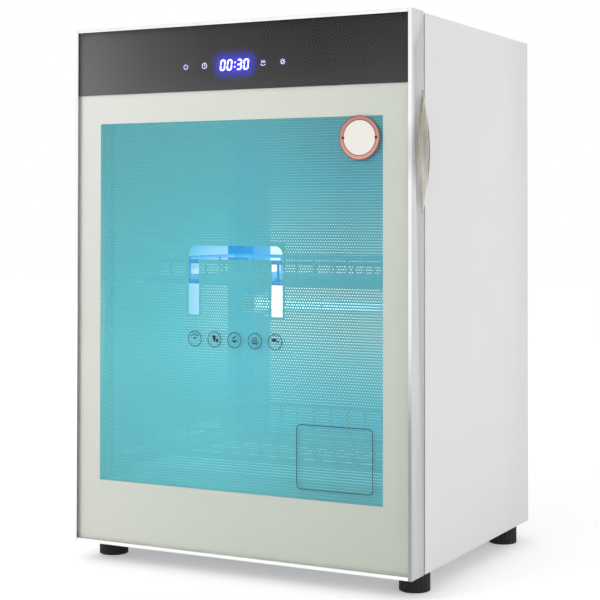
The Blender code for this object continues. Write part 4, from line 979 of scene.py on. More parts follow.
mouth = [
    (STILE_SIDE_X - CUTTER_DEPTH, CUP_CHORD_Y + MOUTH_SLACK - rise, CUP_MIDDLE + along)
    for along, rise in bow(CUP_HALF, CUP_REACH)
]
right_stile = bars["door_stile_right"]
faces_before = len(right_stile.data.polygons)
cut_away(right_stile, prism("mouth_cutter", mouth, (CUTTER_LENGTH, 0, 0)))
print("stile faces:", faces_before, "then", len(right_stile.data.polygons))

# %% [markdown]
# The scoop is a grid: one row for each height, and in each row the same profile from the
# rolled front edge over the floor to the rear wall, its rim and its back. A row near an end
# of the lens is short and shallow, which closes the scoop to a point at both ends.

# %% Press the scoop
SCOOP_DEPTH, SCOOP_POWER = 12.5 * MM, 0.8
SCOOP_ROWS = 56
SCOOP_SHARE = 0.995
SCOOP_SHEET = 0.4 * MM
PLATE = 1.2 * MM
PLATE_FOOT = 1.6 * MM
RIM_ROUND_IN, RIM_ROUND_OUT = 0.35 * MM, 0.3 * MM
BULGE_SHARE = 0.96
BULGE = 6.5 * MM
FLOOR_PROFILE = [
    (0.0, 0.0), (0.08, 0.012), (0.18, 0.06), (0.3, 0.17), (0.42, 0.32), (0.54, 0.5), (0.66, 0.68),
    (0.78, 0.84), (0.88, 0.94), (0.95, 0.99), (0.985, 0.96), (1.0, 0.86), (1.0, 0.6), (1.0, 0.3),
]


def scoop_row(along, rise, rear_y):
    depth_here = SCOOP_DEPTH * (rise / CUP_REACH) ** SCOOP_POWER
    front_y = CUP_CHORD_Y - rise
    rim_x = STILE_SIDE_X + BULGE * (1 - (along / (CUP_HALF * BULGE_SHARE)) ** 2)
    back_y = rear_y + PLATE
    row = [
        (STILE_SIDE_X - depth_here * depth, front_y + (rear_y - front_y) * share)
        for share, depth in FLOOR_PROFILE
    ]
    row += [(rim_x - RIM_ROUND_IN, rear_y), (rim_x, rear_y + RIM_ROUND_IN)]
    row += [(rim_x, back_y - RIM_ROUND_OUT), (rim_x - RIM_ROUND_OUT, back_y)]
    row.append((STILE_SIDE_X - PLATE_FOOT, back_y))
    return [(x, y, CUP_MIDDLE + along) for x, y in row]


def pressed_scoop(name):
    work = bmesh.new()
    rows = []
    for along, rise in bow(CUP_HALF * SCOOP_SHARE, CUP_REACH * SCOOP_SHARE, SCOOP_ROWS):
        rows.append([work.verts.new(spot) for spot in scoop_row(along, rise, cup_high.y - PLATE)])
    stitch(work, rows)
    bmesh.ops.remove_doubles(work, verts=work.verts, dist=POINT_MERGE)
    bmesh.ops.recalc_face_normals(work, faces=work.faces)
    if max(face.normal.x for face in work.faces) < 0.5:
        bmesh.ops.reverse_faces(work, faces=work.faces)
    bmesh.ops.solidify(work, geom=work.faces[:], thickness=SCOOP_SHEET)
    return mesh_piece(name, work, nickel)


scoop = finished_piece(pressed_scoop("finger_cup_scoop"), "door", "aluminium", "handle_cup")
print("scoop faces:", len(scoop.data.polygons))

# %% [markdown]
# ## Growing pieces with Geometry Nodes
# Wires, holes, screws and louvres all repeat, so small node trees make them. A tree's sizes
# are named inputs. We set them by each socket's identifier, let Blender evaluate the tree,
# and keep the result as a plain mesh, because the export doesn't know instances.

# %% Helpers for node trees
def new_tree(name, inputs):
    """A geometry tree with Geometry in and out, a Finish and the inputs given as name: kind."""
    tree = bpy.data.node_groups.new(name, "GeometryNodeTree")
    sockets = [("Geometry", "Geometry"), ("Finish", "Material"), *inputs.items()]
    for label, kind in sockets:
        tree.interface.new_socket(name=label, in_out="INPUT", socket_type="NodeSocket" + kind)
    tree.interface.new_socket(name="Geometry", in_out="OUTPUT", socket_type="NodeSocketGeometry")
    return tree, add_node(tree, "NodeGroupInput").outputs


def end_tree(tree, given, plugs, merge_distance=0.0):
    """Copies on points, realized, merged where that is asked for, in their finish, and out."""
    result = add_node(tree, "GeometryNodeInstanceOnPoints", plugs).outputs[0]
    result = add_node(tree, "GeometryNodeRealizeInstances", {"Geometry": result}).outputs[0]
    if merge_distance:
        plugs = {"Geometry": result, "Distance": merge_distance}
        result = add_node(tree, "GeometryNodeMergeByDistance", plugs).outputs[0]
    plugs = {"Geometry": result, "Material": given["Finish"]}
    result = add_node(tree, "GeometryNodeSetMaterial", plugs).outputs[0]
    add_node(tree, "NodeGroupOutput", {0: result})
    return tree


def grown_piece(name, tree, values, vertices=(), edges=()):
    """What a tree grows from a few points and edges, as a plain mesh object."""
    seed = bpy.data.meshes.new(name + "_seed")
    seed.from_pydata([tuple(v) for v in vertices], list(edges), [])
    holder = new_object(name + "_seed", seed)
    modifier = holder.modifiers.new("grow", "NODES")
    modifier.node_group = tree
    for item in tree.interface.items_tree:
        if item.in_out == "INPUT" and item.name in values:
            modifier[item.identifier] = values[item.name]
    mesh = evaluated_mesh(holder)
    bpy.data.objects.remove(holder)
    return smooth_object(name, mesh)


print("node tree helpers ready")

# %% [markdown]
# ## The wire baskets
# Each basket has two rims of 5 mm wire, thinner wires that run from front to back and a few
# more across, all welded where they touch. One tree turns a bent path into a round wire and
# repeats it along a line, so a whole row of wires is one path and one count.

# %% The tree that makes a row of wires
def wire_row_tree():
    sizes = {"Wire Radius": "Float", "Sides": "Int", "Count": "Int", "Step": "Vector"}
    tree, given = new_tree("row_of_wires", sizes)
    path = add_node(tree, "GeometryNodeMeshToCurve", {"Mesh": given["Geometry"]}).outputs[0]
    plugs = {"Resolution": given["Sides"], "Radius": given["Wire Radius"]}
    ring = add_node(tree, "GeometryNodeCurvePrimitiveCircle", plugs).outputs[0]
    plugs = {"Curve": path, "Profile Curve": ring, "Fill Caps": True}
    one_wire = add_node(tree, "GeometryNodeCurveToMesh", plugs).outputs[0]
    half_row = calc(tree, "MULTIPLY", calc(tree, "SUBTRACT", given["Count"], 1.0), -0.5)
    plugs = {0: given["Step"], "Scale": half_row}
    start = add_node(tree, "ShaderNodeVectorMath", plugs, operation="SCALE").outputs[0]
    plugs = {"Count": given["Count"], "Start Location": start, "Offset": given["Step"]}
    spots = add_node(tree, "GeometryNodeMeshLine", plugs).outputs[0]
    return end_tree(tree, given, {"Points": spots, "Instance": one_wire})


wires = wire_row_tree()
print("nodes in the tree:", len(wires.nodes))

# %% [markdown]
# A wire's path is a few corners joined by straight runs, with each corner bent on a small
# radius. A rim is a closed path with rounded corners. Both are plain lists of points.

# %% Paths for the wires
def rounded_corner(before, corner, after, radius, steps=5):
    """Points on an arc that cuts a corner at the given distance."""
    start = corner + (before - corner).normalized() * radius
    end = corner + (after - corner).normalized() * radius
    shares = [step / steps for step in range(steps + 1)]
    return [start * (1 - t) ** 2 + corner * 2 * t * (1 - t) + end * t**2 for t in shares]


def bent_wire(corners, radius):
    corners = [Vector(corner) for corner in corners]
    path = [corners[0]]
    for before, corner, after in zip(corners, corners[1:], corners[2:]):
        path += rounded_corner(before, corner, after, radius)
    return path + [corners[-1]]


def rim_path(half, front, back, height, corner):
    marks = ((half, front), (half, back), (-half, back), (-half, front))
    marks = [Vector((x, y, height)) for x, y in marks]
    path = []
    for index, mark in enumerate(marks):
        path += rounded_corner(marks[index - 1], mark, marks[(index + 1) % 4], corner, 8)
    return path


def row_of_wires(name, path, radius, finish, closed=False, count=1, step=(0, 0, 0), sides=10):
    edges = [(i, i + 1) for i in range(len(path) - 1)]
    if closed:
        edges.append((len(path) - 1, 0))
    values = {"Finish": finish, "Wire Radius": radius, "Sides": sides}
    return grown_piece(name, wires, {**values, "Count": count, "Step": step}, path, edges)


print("a bent wire has", len(bent_wire([(0, 0, 1), (0, 0, 0), (1, 0, 0)], 0.1)), "points")

# %% [markdown]
# Both baskets have the same plan and differ only in height and depth of wall. The sizes
# repeat those of the solid they stand for, so that a rail still carries each basket.

# %% Plan of a basket
RIM_WIRE = 2.5 * MM
THIN_WIRE = 1.6 * MM
RIM_SIDES = 14
WELD = 0.9 * MM
WIRE_SLACK = 0.3 * MM
BASKET_CORNER = 18 * MM
WIRE_BEND = 4 * MM
LONG_PITCH = 24 * MM
CROSS_PITCH = 75 * MM
STEP_IN = RIM_WIRE + THIN_WIRE - WELD


def joined(name, pieces):
    """Several plain meshes as one."""
    work = bmesh.new()
    for piece in pieces:
        work.from_mesh(piece.data)
    finish = pieces[0].data.materials[0]
    for piece in pieces:
        bpy.data.objects.remove(piece)
    return mesh_piece(name, work, finish)


def u_shape(start, end, top, low):
    """The corners of a wire that goes down, along and up again."""
    return [(start, top), (start, low), (end, low), (end, top)]


print("a thin wire lies", round(STEP_IN / MM, 1), "mm inside the rim's")

# %% [markdown]
# The long wires hang from the rim and lie on the base ring. The cross wires run under them,
# so they lie one wire lower, less what the welds sink in.

# %% Weld the two baskets
def wire_basket(name, body, wire):
    low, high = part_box(name)
    half, front, back = high.x - RIM_WIRE, low.y + RIM_WIRE, high.y - RIM_WIRE
    rim_z = high.z - RIM_WIRE + WIRE_SLACK
    base_z = low.z + RIM_WIRE - WIRE_SLACK
    top_z = rim_z + RIM_WIRE - WELD
    level = base_z + STEP_IN
    inset = STEP_IN + WIRE_BEND
    middle = (front + back) / 2
    rim = rim_path(half, front, back, rim_z, BASKET_CORNER)
    base = rim_path(half - inset, front + inset, back - inset, base_z, BASKET_CORNER - inset)
    low_level = level - 2 * THIN_WIRE + WELD
    side = u_shape(front + STEP_IN, back - STEP_IN, top_z, level)
    across = u_shape(-half + STEP_IN, half - STEP_IN, top_z, low_level)
    side, across = [(0, y, z) for y, z in side], [(x, middle, z) for x, z in across]
    rows = [
        row_of_wires(name + part, path, RIM_WIRE, wire, closed=True, sides=RIM_SIDES)
        for part, path in (("_rim", rim), ("_base", base))
    ]
    for part, corners, length, step in (
        ("_long", side, 2 * (half - BASKET_CORNER), (LONG_PITCH, 0, 0)),
        ("_cross", across, back - front - 2 * BASKET_CORNER, (0, CROSS_PITCH, 0)),
    ):
        count = int(length / max(step)) + 1
        path = bent_wire(corners, WIRE_BEND)
        rows.append(row_of_wires(name + part, path, THIN_WIRE, wire, count=count, step=step))
    return finished_piece(joined(name + "_wires", rows), body, "stainless", name)


baskets = [
    wire_basket("upper_rack", "upper_basket", stainless_wire),
    wire_basket("lower_rack", "lower_basket", far_wire),
]
print("basket faces:", [len(basket.data.polygons) for basket in baskets])

# %% [markdown]
# The sheet steel of the liner has a raw edge at its mouth. A black rubber bead is pressed on
# its sides and its top, so nobody is cut and the door closes softly. The bottom edge stays
# free of it, because the drip tray slides out there. It grows from the same tree.

# %% Press a bead on the liner's mouth
BEAD = 2.6 * MM
BEAD_INSET, BEAD_FOOT, BEAD_CORNER = 0.8 * MM, 0.3 * MM, 8 * MM
mouth_low, mouth_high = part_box("liner_left")[0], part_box("liner_right")[1]
bead_x = mouth_high.x - BEAD_INSET - BEAD
bead_y = mouth_low.y + BEAD
foot_z, top_z = mouth_low.z + BEAD_FOOT, mouth_high.z - BEAD
bead_marks = [(x, bead_y, z) for x, z in u_shape(-bead_x, bead_x, foot_z, top_z)]
bead_path = bent_wire(bead_marks, BEAD_CORNER)
bead = row_of_wires("liner_mouth_bead", bead_path, BEAD, rubber)
finished_piece(bead, "cabinet", "black_rubber")
print("bead faces:", len(bead.data.polygons))

# %% [markdown]
# ## The perforated sheet
# The teal sheet is punched all over with 1.2 mm holes, 3 mm apart in rows that are half a
# step out of line with each other, so the lit cavity shows through as points of light. Dots
# drawn on it would let no light through. One tile with a six-sided hole in its middle is
# laid on a grid of points, and the tiles at the clear arch are left out.

# %% One tile of the sheet
COLUMN_PITCH = 3.05 * MM
ROW_PITCH = 3.02 * MM
HOLE_RADIUS = 0.64 * MM
SHEET_Y = -0.1757
TOWARDS_VIEWER, TOWARDS_REAR = Vector((0, -1, 0)), Vector((0, 1, 0))


def punched_tile(name, half_width, half_height):
    work = bmesh.new()
    right_low, right_high, left_high, left_low = [
        work.verts.new((half_width * x, 0, half_height * z))
        for x, z in ((1, -1), (1, 1), (-1, 1), (-1, -1))
    ]
    turns = [math.radians(30 + 60 * step) for step in range(6)]
    high_right, top, high_left, low_left, bottom, low_right = [
        work.verts.new((HOLE_RADIUS * math.cos(a), 0, HOLE_RADIUS * math.sin(a))) for a in turns
    ]
    for face in (
        (right_low, right_high, high_right, low_right),
        (right_high, top, high_right),
        (right_high, left_high, top),
        (left_high, high_left, top),
        (left_high, left_low, low_left, high_left),
        (left_low, bottom, low_left),
        (left_low, right_low, bottom),
        (right_low, low_right, bottom),
    ):
        work.faces.new(face)
    look_towards(work, TOWARDS_VIEWER)
    return mesh_piece(name, work, teal_film)


tile = punched_tile("sheet_tile", COLUMN_PITCH / 2, ROW_PITCH / 2)
print("tile faces:", len(tile.data.polygons))

# %% [markdown]
# The tree lays two grids of points, the second half a column over and one row up, and sets a
# tile on each point. A point is dropped where it lies inside the arch's outer box and
# outside the block that stands under its bar.

# %% Two grids of points
def staggered_points(tree, given):
    """Two grids of points in the XZ plane, joined."""
    row_step = calc(tree, "MULTIPLY", given["Row Pitch"], 2.0)
    counts, sizes = [], []
    for length, pitch in ((given["Width"], given["Column Pitch"]), (given["Height"], row_step)):
        steps = calc(tree, "ROUND", calc(tree, "DIVIDE", length, pitch))
        counts.append(calc(tree, "ADD", steps, 1.0))
        sizes.append(calc(tree, "MULTIPLY", steps, pitch))
    plugs = {"Size X": sizes[0], "Size Y": sizes[1]}
    plugs.update({"Vertices X": counts[0], "Vertices Y": counts[1]})
    flat = add_node(tree, "GeometryNodeMeshGrid", plugs).outputs["Mesh"]
    plugs = {"Geometry": flat, "Rotation": (math.radians(90), 0, 0)}
    first = add_node(tree, "GeometryNodeTransform", plugs).outputs[0]
    half_column = calc(tree, "MULTIPLY", given["Column Pitch"], 0.5)
    plugs = {"X": half_column, "Z": given["Row Pitch"]}
    step = add_node(tree, "ShaderNodeCombineXYZ", plugs).outputs[0]
    plugs = {"Geometry": first, "Translation": step}
    second = add_node(tree, "GeometryNodeTransform", plugs).outputs[0]
    both = add_node(tree, "GeometryNodeJoinGeometry")
    for part in (first, second):
        tree.links.new(part, both.inputs[0])
    return both.outputs[0]


def all_hold(tree, given, *tests):
    """One where each (value, test, limit) holds, zero elsewhere."""
    result = 1.0
    for value, test, limit in tests:
        result = calc(tree, "MULTIPLY", calc(tree, test, value, given[limit]), result)
    return result


def in_gap(tree, given):
    """One where a point lies in the arch, zero elsewhere."""
    across, _, up = xyz(tree, add_node(tree, "GeometryNodeInputPosition").outputs[0])
    off = calc(tree, "ABSOLUTE", across)
    block = ((off, "LESS_THAN", "Block Half Width"), (up, "LESS_THAN", "Block Top"))
    box = ((off, "LESS_THAN", "Gap Half Width"), (up, "LESS_THAN", "Gap Top"))
    box = all_hold(tree, given, *box, (up, "GREATER_THAN", "Gap Bottom"))
    block = all_hold(tree, given, *block)
    return calc(tree, "GREATER_THAN", calc(tree, "SUBTRACT", box, block), 0.5)


print("a point is kept outside the gap or inside the block")

# %% [markdown]
# Neighbouring tiles share their edges, so their corners are merged into one sheet.

# %% The tree that repeats the tile
SHEET_INPUTS = (
    "Column Pitch", "Row Pitch", "Width", "Height",
    "Gap Half Width", "Gap Bottom", "Gap Top", "Block Half Width", "Block Top",
)
TILE_MERGE = 0.02 * MM


def punched_sheet_tree():
    inputs = {"Tile": "Object", **dict.fromkeys(SHEET_INPUTS, "Float")}
    tree, given = new_tree("punched_sheet", inputs)
    plugs = {"Geometry": staggered_points(tree, given), "Selection": in_gap(tree, given)}
    spots = add_node(tree, "GeometryNodeDeleteGeometry", plugs, domain="POINT").outputs[0]
    one = add_node(tree, "GeometryNodeObjectInfo", {"Object": given["Tile"]}).outputs["Geometry"]
    return end_tree(tree, given, {"Points": spots, "Instance": one}, TILE_MERGE)


sheet_tree = punched_sheet_tree()
print("nodes in the sheet's tree:", len(sheet_tree.nodes))

# %% [markdown]
# The sheet reaches a little past the window, behind the cream border, as a real sheet does
# where it is taped. The window's box comes from the CAD, so the sheet stays true to it.

# %% Punch the sheet
window_low, window_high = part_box("window_screen")
window_middle = (window_low + window_high) / 2
ARCH_LEFT, ARCH_BOTTOM = from_door(154.0, 269.0)
ARCH_WIDTH, ARCH_HEIGHT = 120.3 * MM, 77.5 * MM
ARCH_BAR, ARCH_LEG, ARCH_CORNER = 15.3 * MM, 13.5 * MM, 9.5 * MM
RIM_REACH = 1.56 * MM
arch_middle = ARCH_LEFT + ARCH_WIDTH / 2
arch_low, arch_top = ARCH_BOTTOM - window_middle.z, ARCH_BOTTOM + ARCH_HEIGHT - window_middle.z
sheet_sizes = {
    "Tile": tile,
    "Finish": teal_film,
    "Column Pitch": COLUMN_PITCH,
    "Row Pitch": ROW_PITCH,
    "Width": window_high.x - window_low.x + COLUMN_PITCH,
    "Height": window_high.z - window_low.z + ROW_PITCH,
    "Gap Half Width": ARCH_WIDTH / 2 + RIM_REACH,
    "Gap Bottom": arch_low - RIM_REACH,
    "Gap Top": arch_top + RIM_REACH,
    "Block Half Width": ARCH_WIDTH / 2 - ARCH_LEG - RIM_REACH,
    "Block Top": arch_top - ARCH_BAR - RIM_REACH,
}
sheet = grown_piece("perforated_window_sheet", sheet_tree, sheet_sizes)
sheet.data.transform(Matrix.Translation((arch_middle, SHEET_Y, window_middle.z)))
bpy.data.objects.remove(tile)
finished_piece(sheet, "door", "teal_film", "window_screen")
print("sheet faces:", len(sheet.data.polygons))

# %% [markdown]
# ## Flat artwork
# Signs, digits and outlines are all thin flat shapes on the glass. Two helpers make them:
# one turns a pen line into short strips, the other gives any set of outlines a thickness
# of a tenth of a millimetre. Real geometry stays crisp at every distance.

# %% Pen lines and cut-out shapes
GLASS_FRONT_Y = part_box("door_glass")[0].y
BEHIND_PANE_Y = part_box("control_glass")[1].y - 0.03 * MM
INK_THICKNESS = 0.08 * MM
MITRE_LIMIT = 0.4


def oval(centre, wide, high, start=0, end=360, steps=20):
    turns = [math.radians(start + (end - start) * step / steps) for step in range(steps + 1)]
    return [(centre[0] + wide * math.cos(a), centre[1] + high * math.sin(a)) for a in turns]


def circle_points(centre, radius, start=0, end=360, steps=36):
    return oval(centre, radius, radius, start, end, steps)


def pen_line(points, width):
    """Four-sided strips along a line of (x, z) points, mitred where the line bends."""
    spots = [Vector(p) for p in points]
    closed = (spots[0] - spots[-1]).length < 1e-7
    last = len(spots) - 1
    edges = []
    for index, spot in enumerate(spots):
        before = spots[index - 1] if index else (spots[last - 1] if closed else spot)
        after = spots[index + 1] if index < last else (spots[1] if closed else spot)
        ways = [way.normalized() for way in (spot - before, after - spot) if way.length > 1e-9]
        along = sum(ways, Vector((0, 0))).normalized()
        side = Vector((-along.y, along.x))
        stretch = 1 / max(MITRE_LIMIT, abs(side.dot(Vector((-ways[0].y, ways[0].x)))))
        half = side * width / 2 * stretch
        edges.append((spot + half, spot - half))
    return [
        [left, right, next_right, next_left]
        for (left, right), (next_left, next_right) in zip(edges, edges[1:])
    ]


def artwork(name, outlines, finish, back_y=GLASS_FRONT_Y, thickness=INK_THICKNESS):
    """Solid flat shapes from outlines in (x, z), on the plane back_y, facing the viewer."""
    work = bmesh.new()
    for outline in outlines:
        work.faces.new([work.verts.new((point[0], back_y, point[1])) for point in outline])
    bmesh.ops.remove_doubles(work, verts=work.verts, dist=POINT_MERGE)
    bmesh.ops.triangulate(work, faces=work.faces)
    push_faces(work, (0, -thickness, 0))
    return mesh_piece(name, work, finish)


print("one ring as strips:", len(pen_line(circle_points((0, 0), 0.01), 0.001)))

# %% [markdown]
# ## The painted shadow line round the cup
# A thin black rubber strip lies behind the rear wall of the finger cup and stands out a little
# past it, as a painted shadow line round the bulge. It is a flat bow, so it is made as artwork
# is.

# %% The painted shadow line behind the cup's rear wall
SHADOW_STRIP_SWELL = BULGE + 0.45 * MM
SHADOW_STRIP_BACK_Y = cup_high.y + 0.8 * MM
SHADOW_STRIP_THICKNESS = 0.75 * MM
lip = [
    (STILE_SIDE_X - PLATE_FOOT + rise, CUP_MIDDLE + along)
    for along, rise in bow(CUP_HALF * BULGE_SHARE, SHADOW_STRIP_SWELL + PLATE_FOOT)
]
shadow_strip_piece = artwork("finger_cup_lip", [lip], rubber, SHADOW_STRIP_BACK_Y, SHADOW_STRIP_THICKNESS)
finished_piece(shadow_strip_piece, "door", "black_rubber")
print("lip reaches", round((STILE_SIDE_X + SHADOW_STRIP_SWELL) / MM, 2), "mm")

# %% [markdown]
# ## The clear arch
# The tiles stop in steps around the arch. A plain rim of the same ink, just in front of
# them, gives the clear arch its clean outline with rounded upper corners.

# %% The arch's rim
RIM_WIDTH = 3.3 * MM
RIM_BACK_Y = SHEET_Y - 0.01 * MM


def arch_outline(grow, corner):
    """The arch's outline, moved outwards by grow, with its upper corners on that radius."""
    left, right = ARCH_LEFT - grow, ARCH_LEFT + ARCH_WIDTH + grow
    low, top = ARCH_BOTTOM - grow, ARCH_BOTTOM + ARCH_HEIGHT + grow
    leg, bar = ARCH_LEG + 2 * grow, ARCH_BAR + 2 * grow
    line = [(left, low), (left + leg, low), (left + leg, top - bar), (right - leg, top - bar)]
    line += [(right - leg, low), (right, low)]
    line += circle_points((right - corner, top - corner), corner, 0, 90, 8)
    line += circle_points((left + corner, top - corner), corner, 90, 180, 8)
    return line + [line[0]]


inner, outer = arch_outline(0, ARCH_CORNER), arch_outline(RIM_WIDTH, MM)
rim_strips = [
    [inner[i], inner[i + 1], outer[i + 1], outer[i]] for i in range(len(inner) - 1)
]
finished_piece(artwork("arch_rim", rim_strips, teal_film, RIM_BACK_Y), "door", "teal_film")
print("rim strips:", len(rim_strips))

# %% [markdown]
# ## Signs on the window
# Five round signs sit in a row under the arch: a warm bowl, a feeding bottle with a drop,
# a bowl with a spoon, swirling air and a pan with a handle. They are thin dark line
# drawings, which the eye reads as printing. A table gives each one's place on the door, its
# pen lines and its filled shapes, in millimetres about its centre.

# %% Shapes of the signs
SIGN_UP = 242.0
SIGN_RADIUS = 8.5
PEN = 0.78 * MM
SWIRL_PITCH, SWIRL_UP = 0.33, 1.2
swirl_turns = [step * 0.5 for step in range(3, 25)]
SWIRL = [
    (SWIRL_PITCH * t * math.cos(t), SWIRL_UP + SWIRL_PITCH * t * math.sin(t)) for t in swirl_turns
]
BREEZE = [(-3.6, -2.2), (-1.8, -3.2), (0.2, -2.6), (2.2, -3.4), (3.8, -2.6)]
BOTTLE = [(-3.4, 4.6), (0.8, 4.6), (1.8, 2.6), (0.6, -2.0), (-0.8, -3.0), (-1.8, 1.2)]
DROP = oval((3.3, -1.2), 1.5, 1.9)[:-1]
DIAMOND = [(-1.7, 1.2), (0, -0.6), (1.7, 1.2), (0, 1.9)]
BOWL = [(-3.2, 0.9), (0, -0.6), (3.2, 0.9), (2.2, -1.6), (0, -2.8), (-2.2, -1.6)]
SPOON = oval((-1.3, 2.7), 1.1, 1.0)[:-1]
PAN = oval((-1.6, 2.2), 3.0, 1.9)[:-1]
PAN_HANDLE = [(1.0, 1.9), (5.2, 0.3), (5.0, -0.9), (0.8, 0.7)]
SIGNS = {
    "warm_bowl": (164.4, [oval((0, 1.4), 4.6, 3.8, 15, 165)], [DIAMOND]),
    "bottle": (190.1, [], [BOTTLE, DROP]),
    "bowl_and_spoon": (215.8, [[(-0.6, 3.1), (1.0, 4.4), (2.6, 5.0)]], [BOWL, SPOON]),
    "swirling_air": (241.7, [SWIRL, BREEZE], []),
    "pan": (267.1, [[(0.6, 1.4), (4.9, -0.2)]], [PAN, PAN_HANDLE]),
}
print("signs:", list(SIGNS))

# %% [markdown]
# Each sign is its ring, its pen lines and its filled shapes, all cut from the same ink. A
# sixth print is a larger empty panel with rounded corners near the lower right.

# %% Print the signs and the outlined panel
PANEL_CORNER = 5 * MM


def at(centre, points):
    """Points in millimetres about a sign's centre, as places on the door."""
    return [(centre[0] + x * MM, centre[1] + z * MM) for x, z in points]


def drawn(centre, lines, width):
    """The strips of several pen lines about a centre."""
    return [strip for line in lines for strip in pen_line(at(centre, line), width)]


def rounded_box(left, low, right, top, corner):
    line = []
    middles = ((right, top, -1, -1), (left, top, 1, -1), (left, low, 1, 1), (right, low, -1, 1))
    for quarter, (x, z, to_x, to_z) in enumerate(middles):
        middle = (x + to_x * corner, z + to_z * corner)
        line += circle_points(middle, corner, 90 * quarter, 90 * quarter + 90, 6)
    return line + [line[0]]


for kind, (across, lines, shapes) in SIGNS.items():
    centre = from_door(across, SIGN_UP)
    outlines = drawn(centre, [circle_points((0, 0), SIGN_RADIUS), *lines], PEN)
    outlines += [at(centre, shape) for shape in shapes]
    finished_piece(artwork("window_sign_" + kind, outlines, sign_ink), "door", "black_plastic")

panel_line = rounded_box(*from_door(293.9, 85.0), *from_door(384.5, 154.2), PANEL_CORNER)
panel = artwork("outlined_panel", pen_line(panel_line, PEN), sign_ink)
finished_piece(panel, "door", "black_plastic")
print("panel faces:", len(panel.data.polygons))

# %% [markdown]
# ## The round seal
# A foil ring, edged by a fine dark line on each side and marked by a small dark dot at the
# left and the right, frames a plain cream disc. The layers lie on each other, so each is a
# few hundredths of a millimetre thicker than the last.

# %% Disc, ring, lines and dots
SEAL = from_door(368.9, 463.2)
SEAL_RADIUS = 23.6 * MM
RING_WIDTH = 4.4 * MM
OUTER_LINE, INNER_LINE = 0.7 * MM, 1.0 * MM
DOT_RADIUS = 1.7 * MM
DOT_OFFSET = SEAL_RADIUS - RING_WIDTH * 0.95


def disc(centre, radius, steps=48):
    return circle_points(centre, radius, steps=steps)[:-1]


def ring(radius, width):
    return pen_line(circle_points(SEAL, radius, steps=64), width)


edge_lines = ring(SEAL_RADIUS - OUTER_LINE / 2, OUTER_LINE)
edge_lines += ring(SEAL_RADIUS - RING_WIDTH, INNER_LINE)
dots = [disc((SEAL[0] + side * DOT_OFFSET, SEAL[1]), DOT_RADIUS, 16) for side in (-1, 1)]
seal_layers = (
    ("seal_paper_disc", [disc(SEAL, SEAL_RADIUS - RING_WIDTH * 0.9)], seal_paper, 0.10),
    ("seal_foil_ring", ring(SEAL_RADIUS - RING_WIDTH / 2, RING_WIDTH), foil, 0.14),
    ("seal_edge_lines", edge_lines, foil_edge, 0.17),
    ("seal_side_dots", dots, sign_ink, 0.19),
)
for name, outlines, finish, height in seal_layers:
    finished_piece(artwork(name, outlines, finish, thickness=height * MM), "door", "cream_film")
print("seal centre:", [round(v, 4) for v in SEAL])

# %% [markdown]
# ## The clock
# The clock shows 00:30 on seven-segment digits that lean a little to the right. A segment
# is a thin bar with pointed ends; a table says which of the seven are lit for a numeral.

# %% Seven-segment digits
DIGIT_WIDTH, DIGIT_HEIGHT = 6.9, 12.4
SEGMENT = 1.8
SEGMENT_GAP = 0.1
LEAN = math.tan(math.radians(6))
SEGMENTS = {
    "top": ((0, 1), (1, 1)),
    "high_left": ((0, 0.5), (0, 1)),
    "high_right": ((1, 0.5), (1, 1)),
    "middle": ((0, 0.5), (1, 0.5)),
    "low_left": ((0, 0), (0, 0.5)),
    "low_right": ((1, 0), (1, 0.5)),
    "bottom": ((0, 0), (1, 0)),
}
LIT_SEGMENTS = {
    "0": ("top", "high_left", "high_right", "low_left", "low_right", "bottom"),
    "3": ("top", "high_right", "middle", "low_right", "bottom"),
}


def segment_outline(*ends):
    """A bar with pointed ends between two corners of a digit, in millimetres."""
    a, b = [
        Vector((x * (DIGIT_WIDTH - SEGMENT), z * (DIGIT_HEIGHT - SEGMENT))) for x, z in ends
    ]
    along = (b - a).normalized()
    side = Vector((-along.y, along.x)) * SEGMENT / 2
    a, b = a + along * SEGMENT_GAP, b - along * SEGMENT_GAP
    shoulder = along * SEGMENT / 2
    upper = [a + shoulder + side, b - shoulder + side]
    return [a, *upper, b, b - shoulder - side, a + shoulder - side]


print("a segment has", len(segment_outline((0, 0), (1, 0))), "corners")

# %% [markdown]
# The digits are set one after another like type, each a fixed step from the last, with the
# two dots of the colon in a narrower step between them.

# %% Set the time
CLOCK_LEFT, CLOCK_LOW = 195.4, 542.9
DIGIT_STEP, COLON_STEP = 8.8, 3.6
COLON_RADIUS, COLON_ACROSS, COLON_DROP = 0.95, 0.6, 0.8


def lean(points, left_mm, low_mm):
    return [from_door(left_mm + x + z * LEAN, low_mm + z) for x, z in points]


colon = [
    disc((COLON_ACROSS, DIGIT_HEIGHT * height - COLON_DROP), COLON_RADIUS, 12)
    for height in (0.3, 0.7)
]
digit_outlines = []
set_at = CLOCK_LEFT
for sign in "00:30":
    if sign == ":":
        shapes, step = colon, COLON_STEP
    else:
        shapes = [segment_outline(*SEGMENTS[name]) for name in LIT_SEGMENTS[sign]]
        step = DIGIT_STEP
    digit_outlines += [lean(shape, set_at, CLOCK_LOW) for shape in shapes]
    set_at += step
digits = artwork("clock_digits", digit_outlines, digit_light, BEHIND_PANE_Y)
finished_piece(digits, "door", "display_black")
print("the time ends", round(set_at, 1), "mm from the door's left edge")

# %% [markdown]
# ## The touch icons
# Two icons stand on each side of the clock: power and timer, warm air and lamp. They are
# drawn with the same pen lines, a little bolder, and lit.

# %% Draw the icons
ICON_PEN = 0.42 * MM
RAY_START, RAY_END, RAYS = 2.2, 3.2, 8

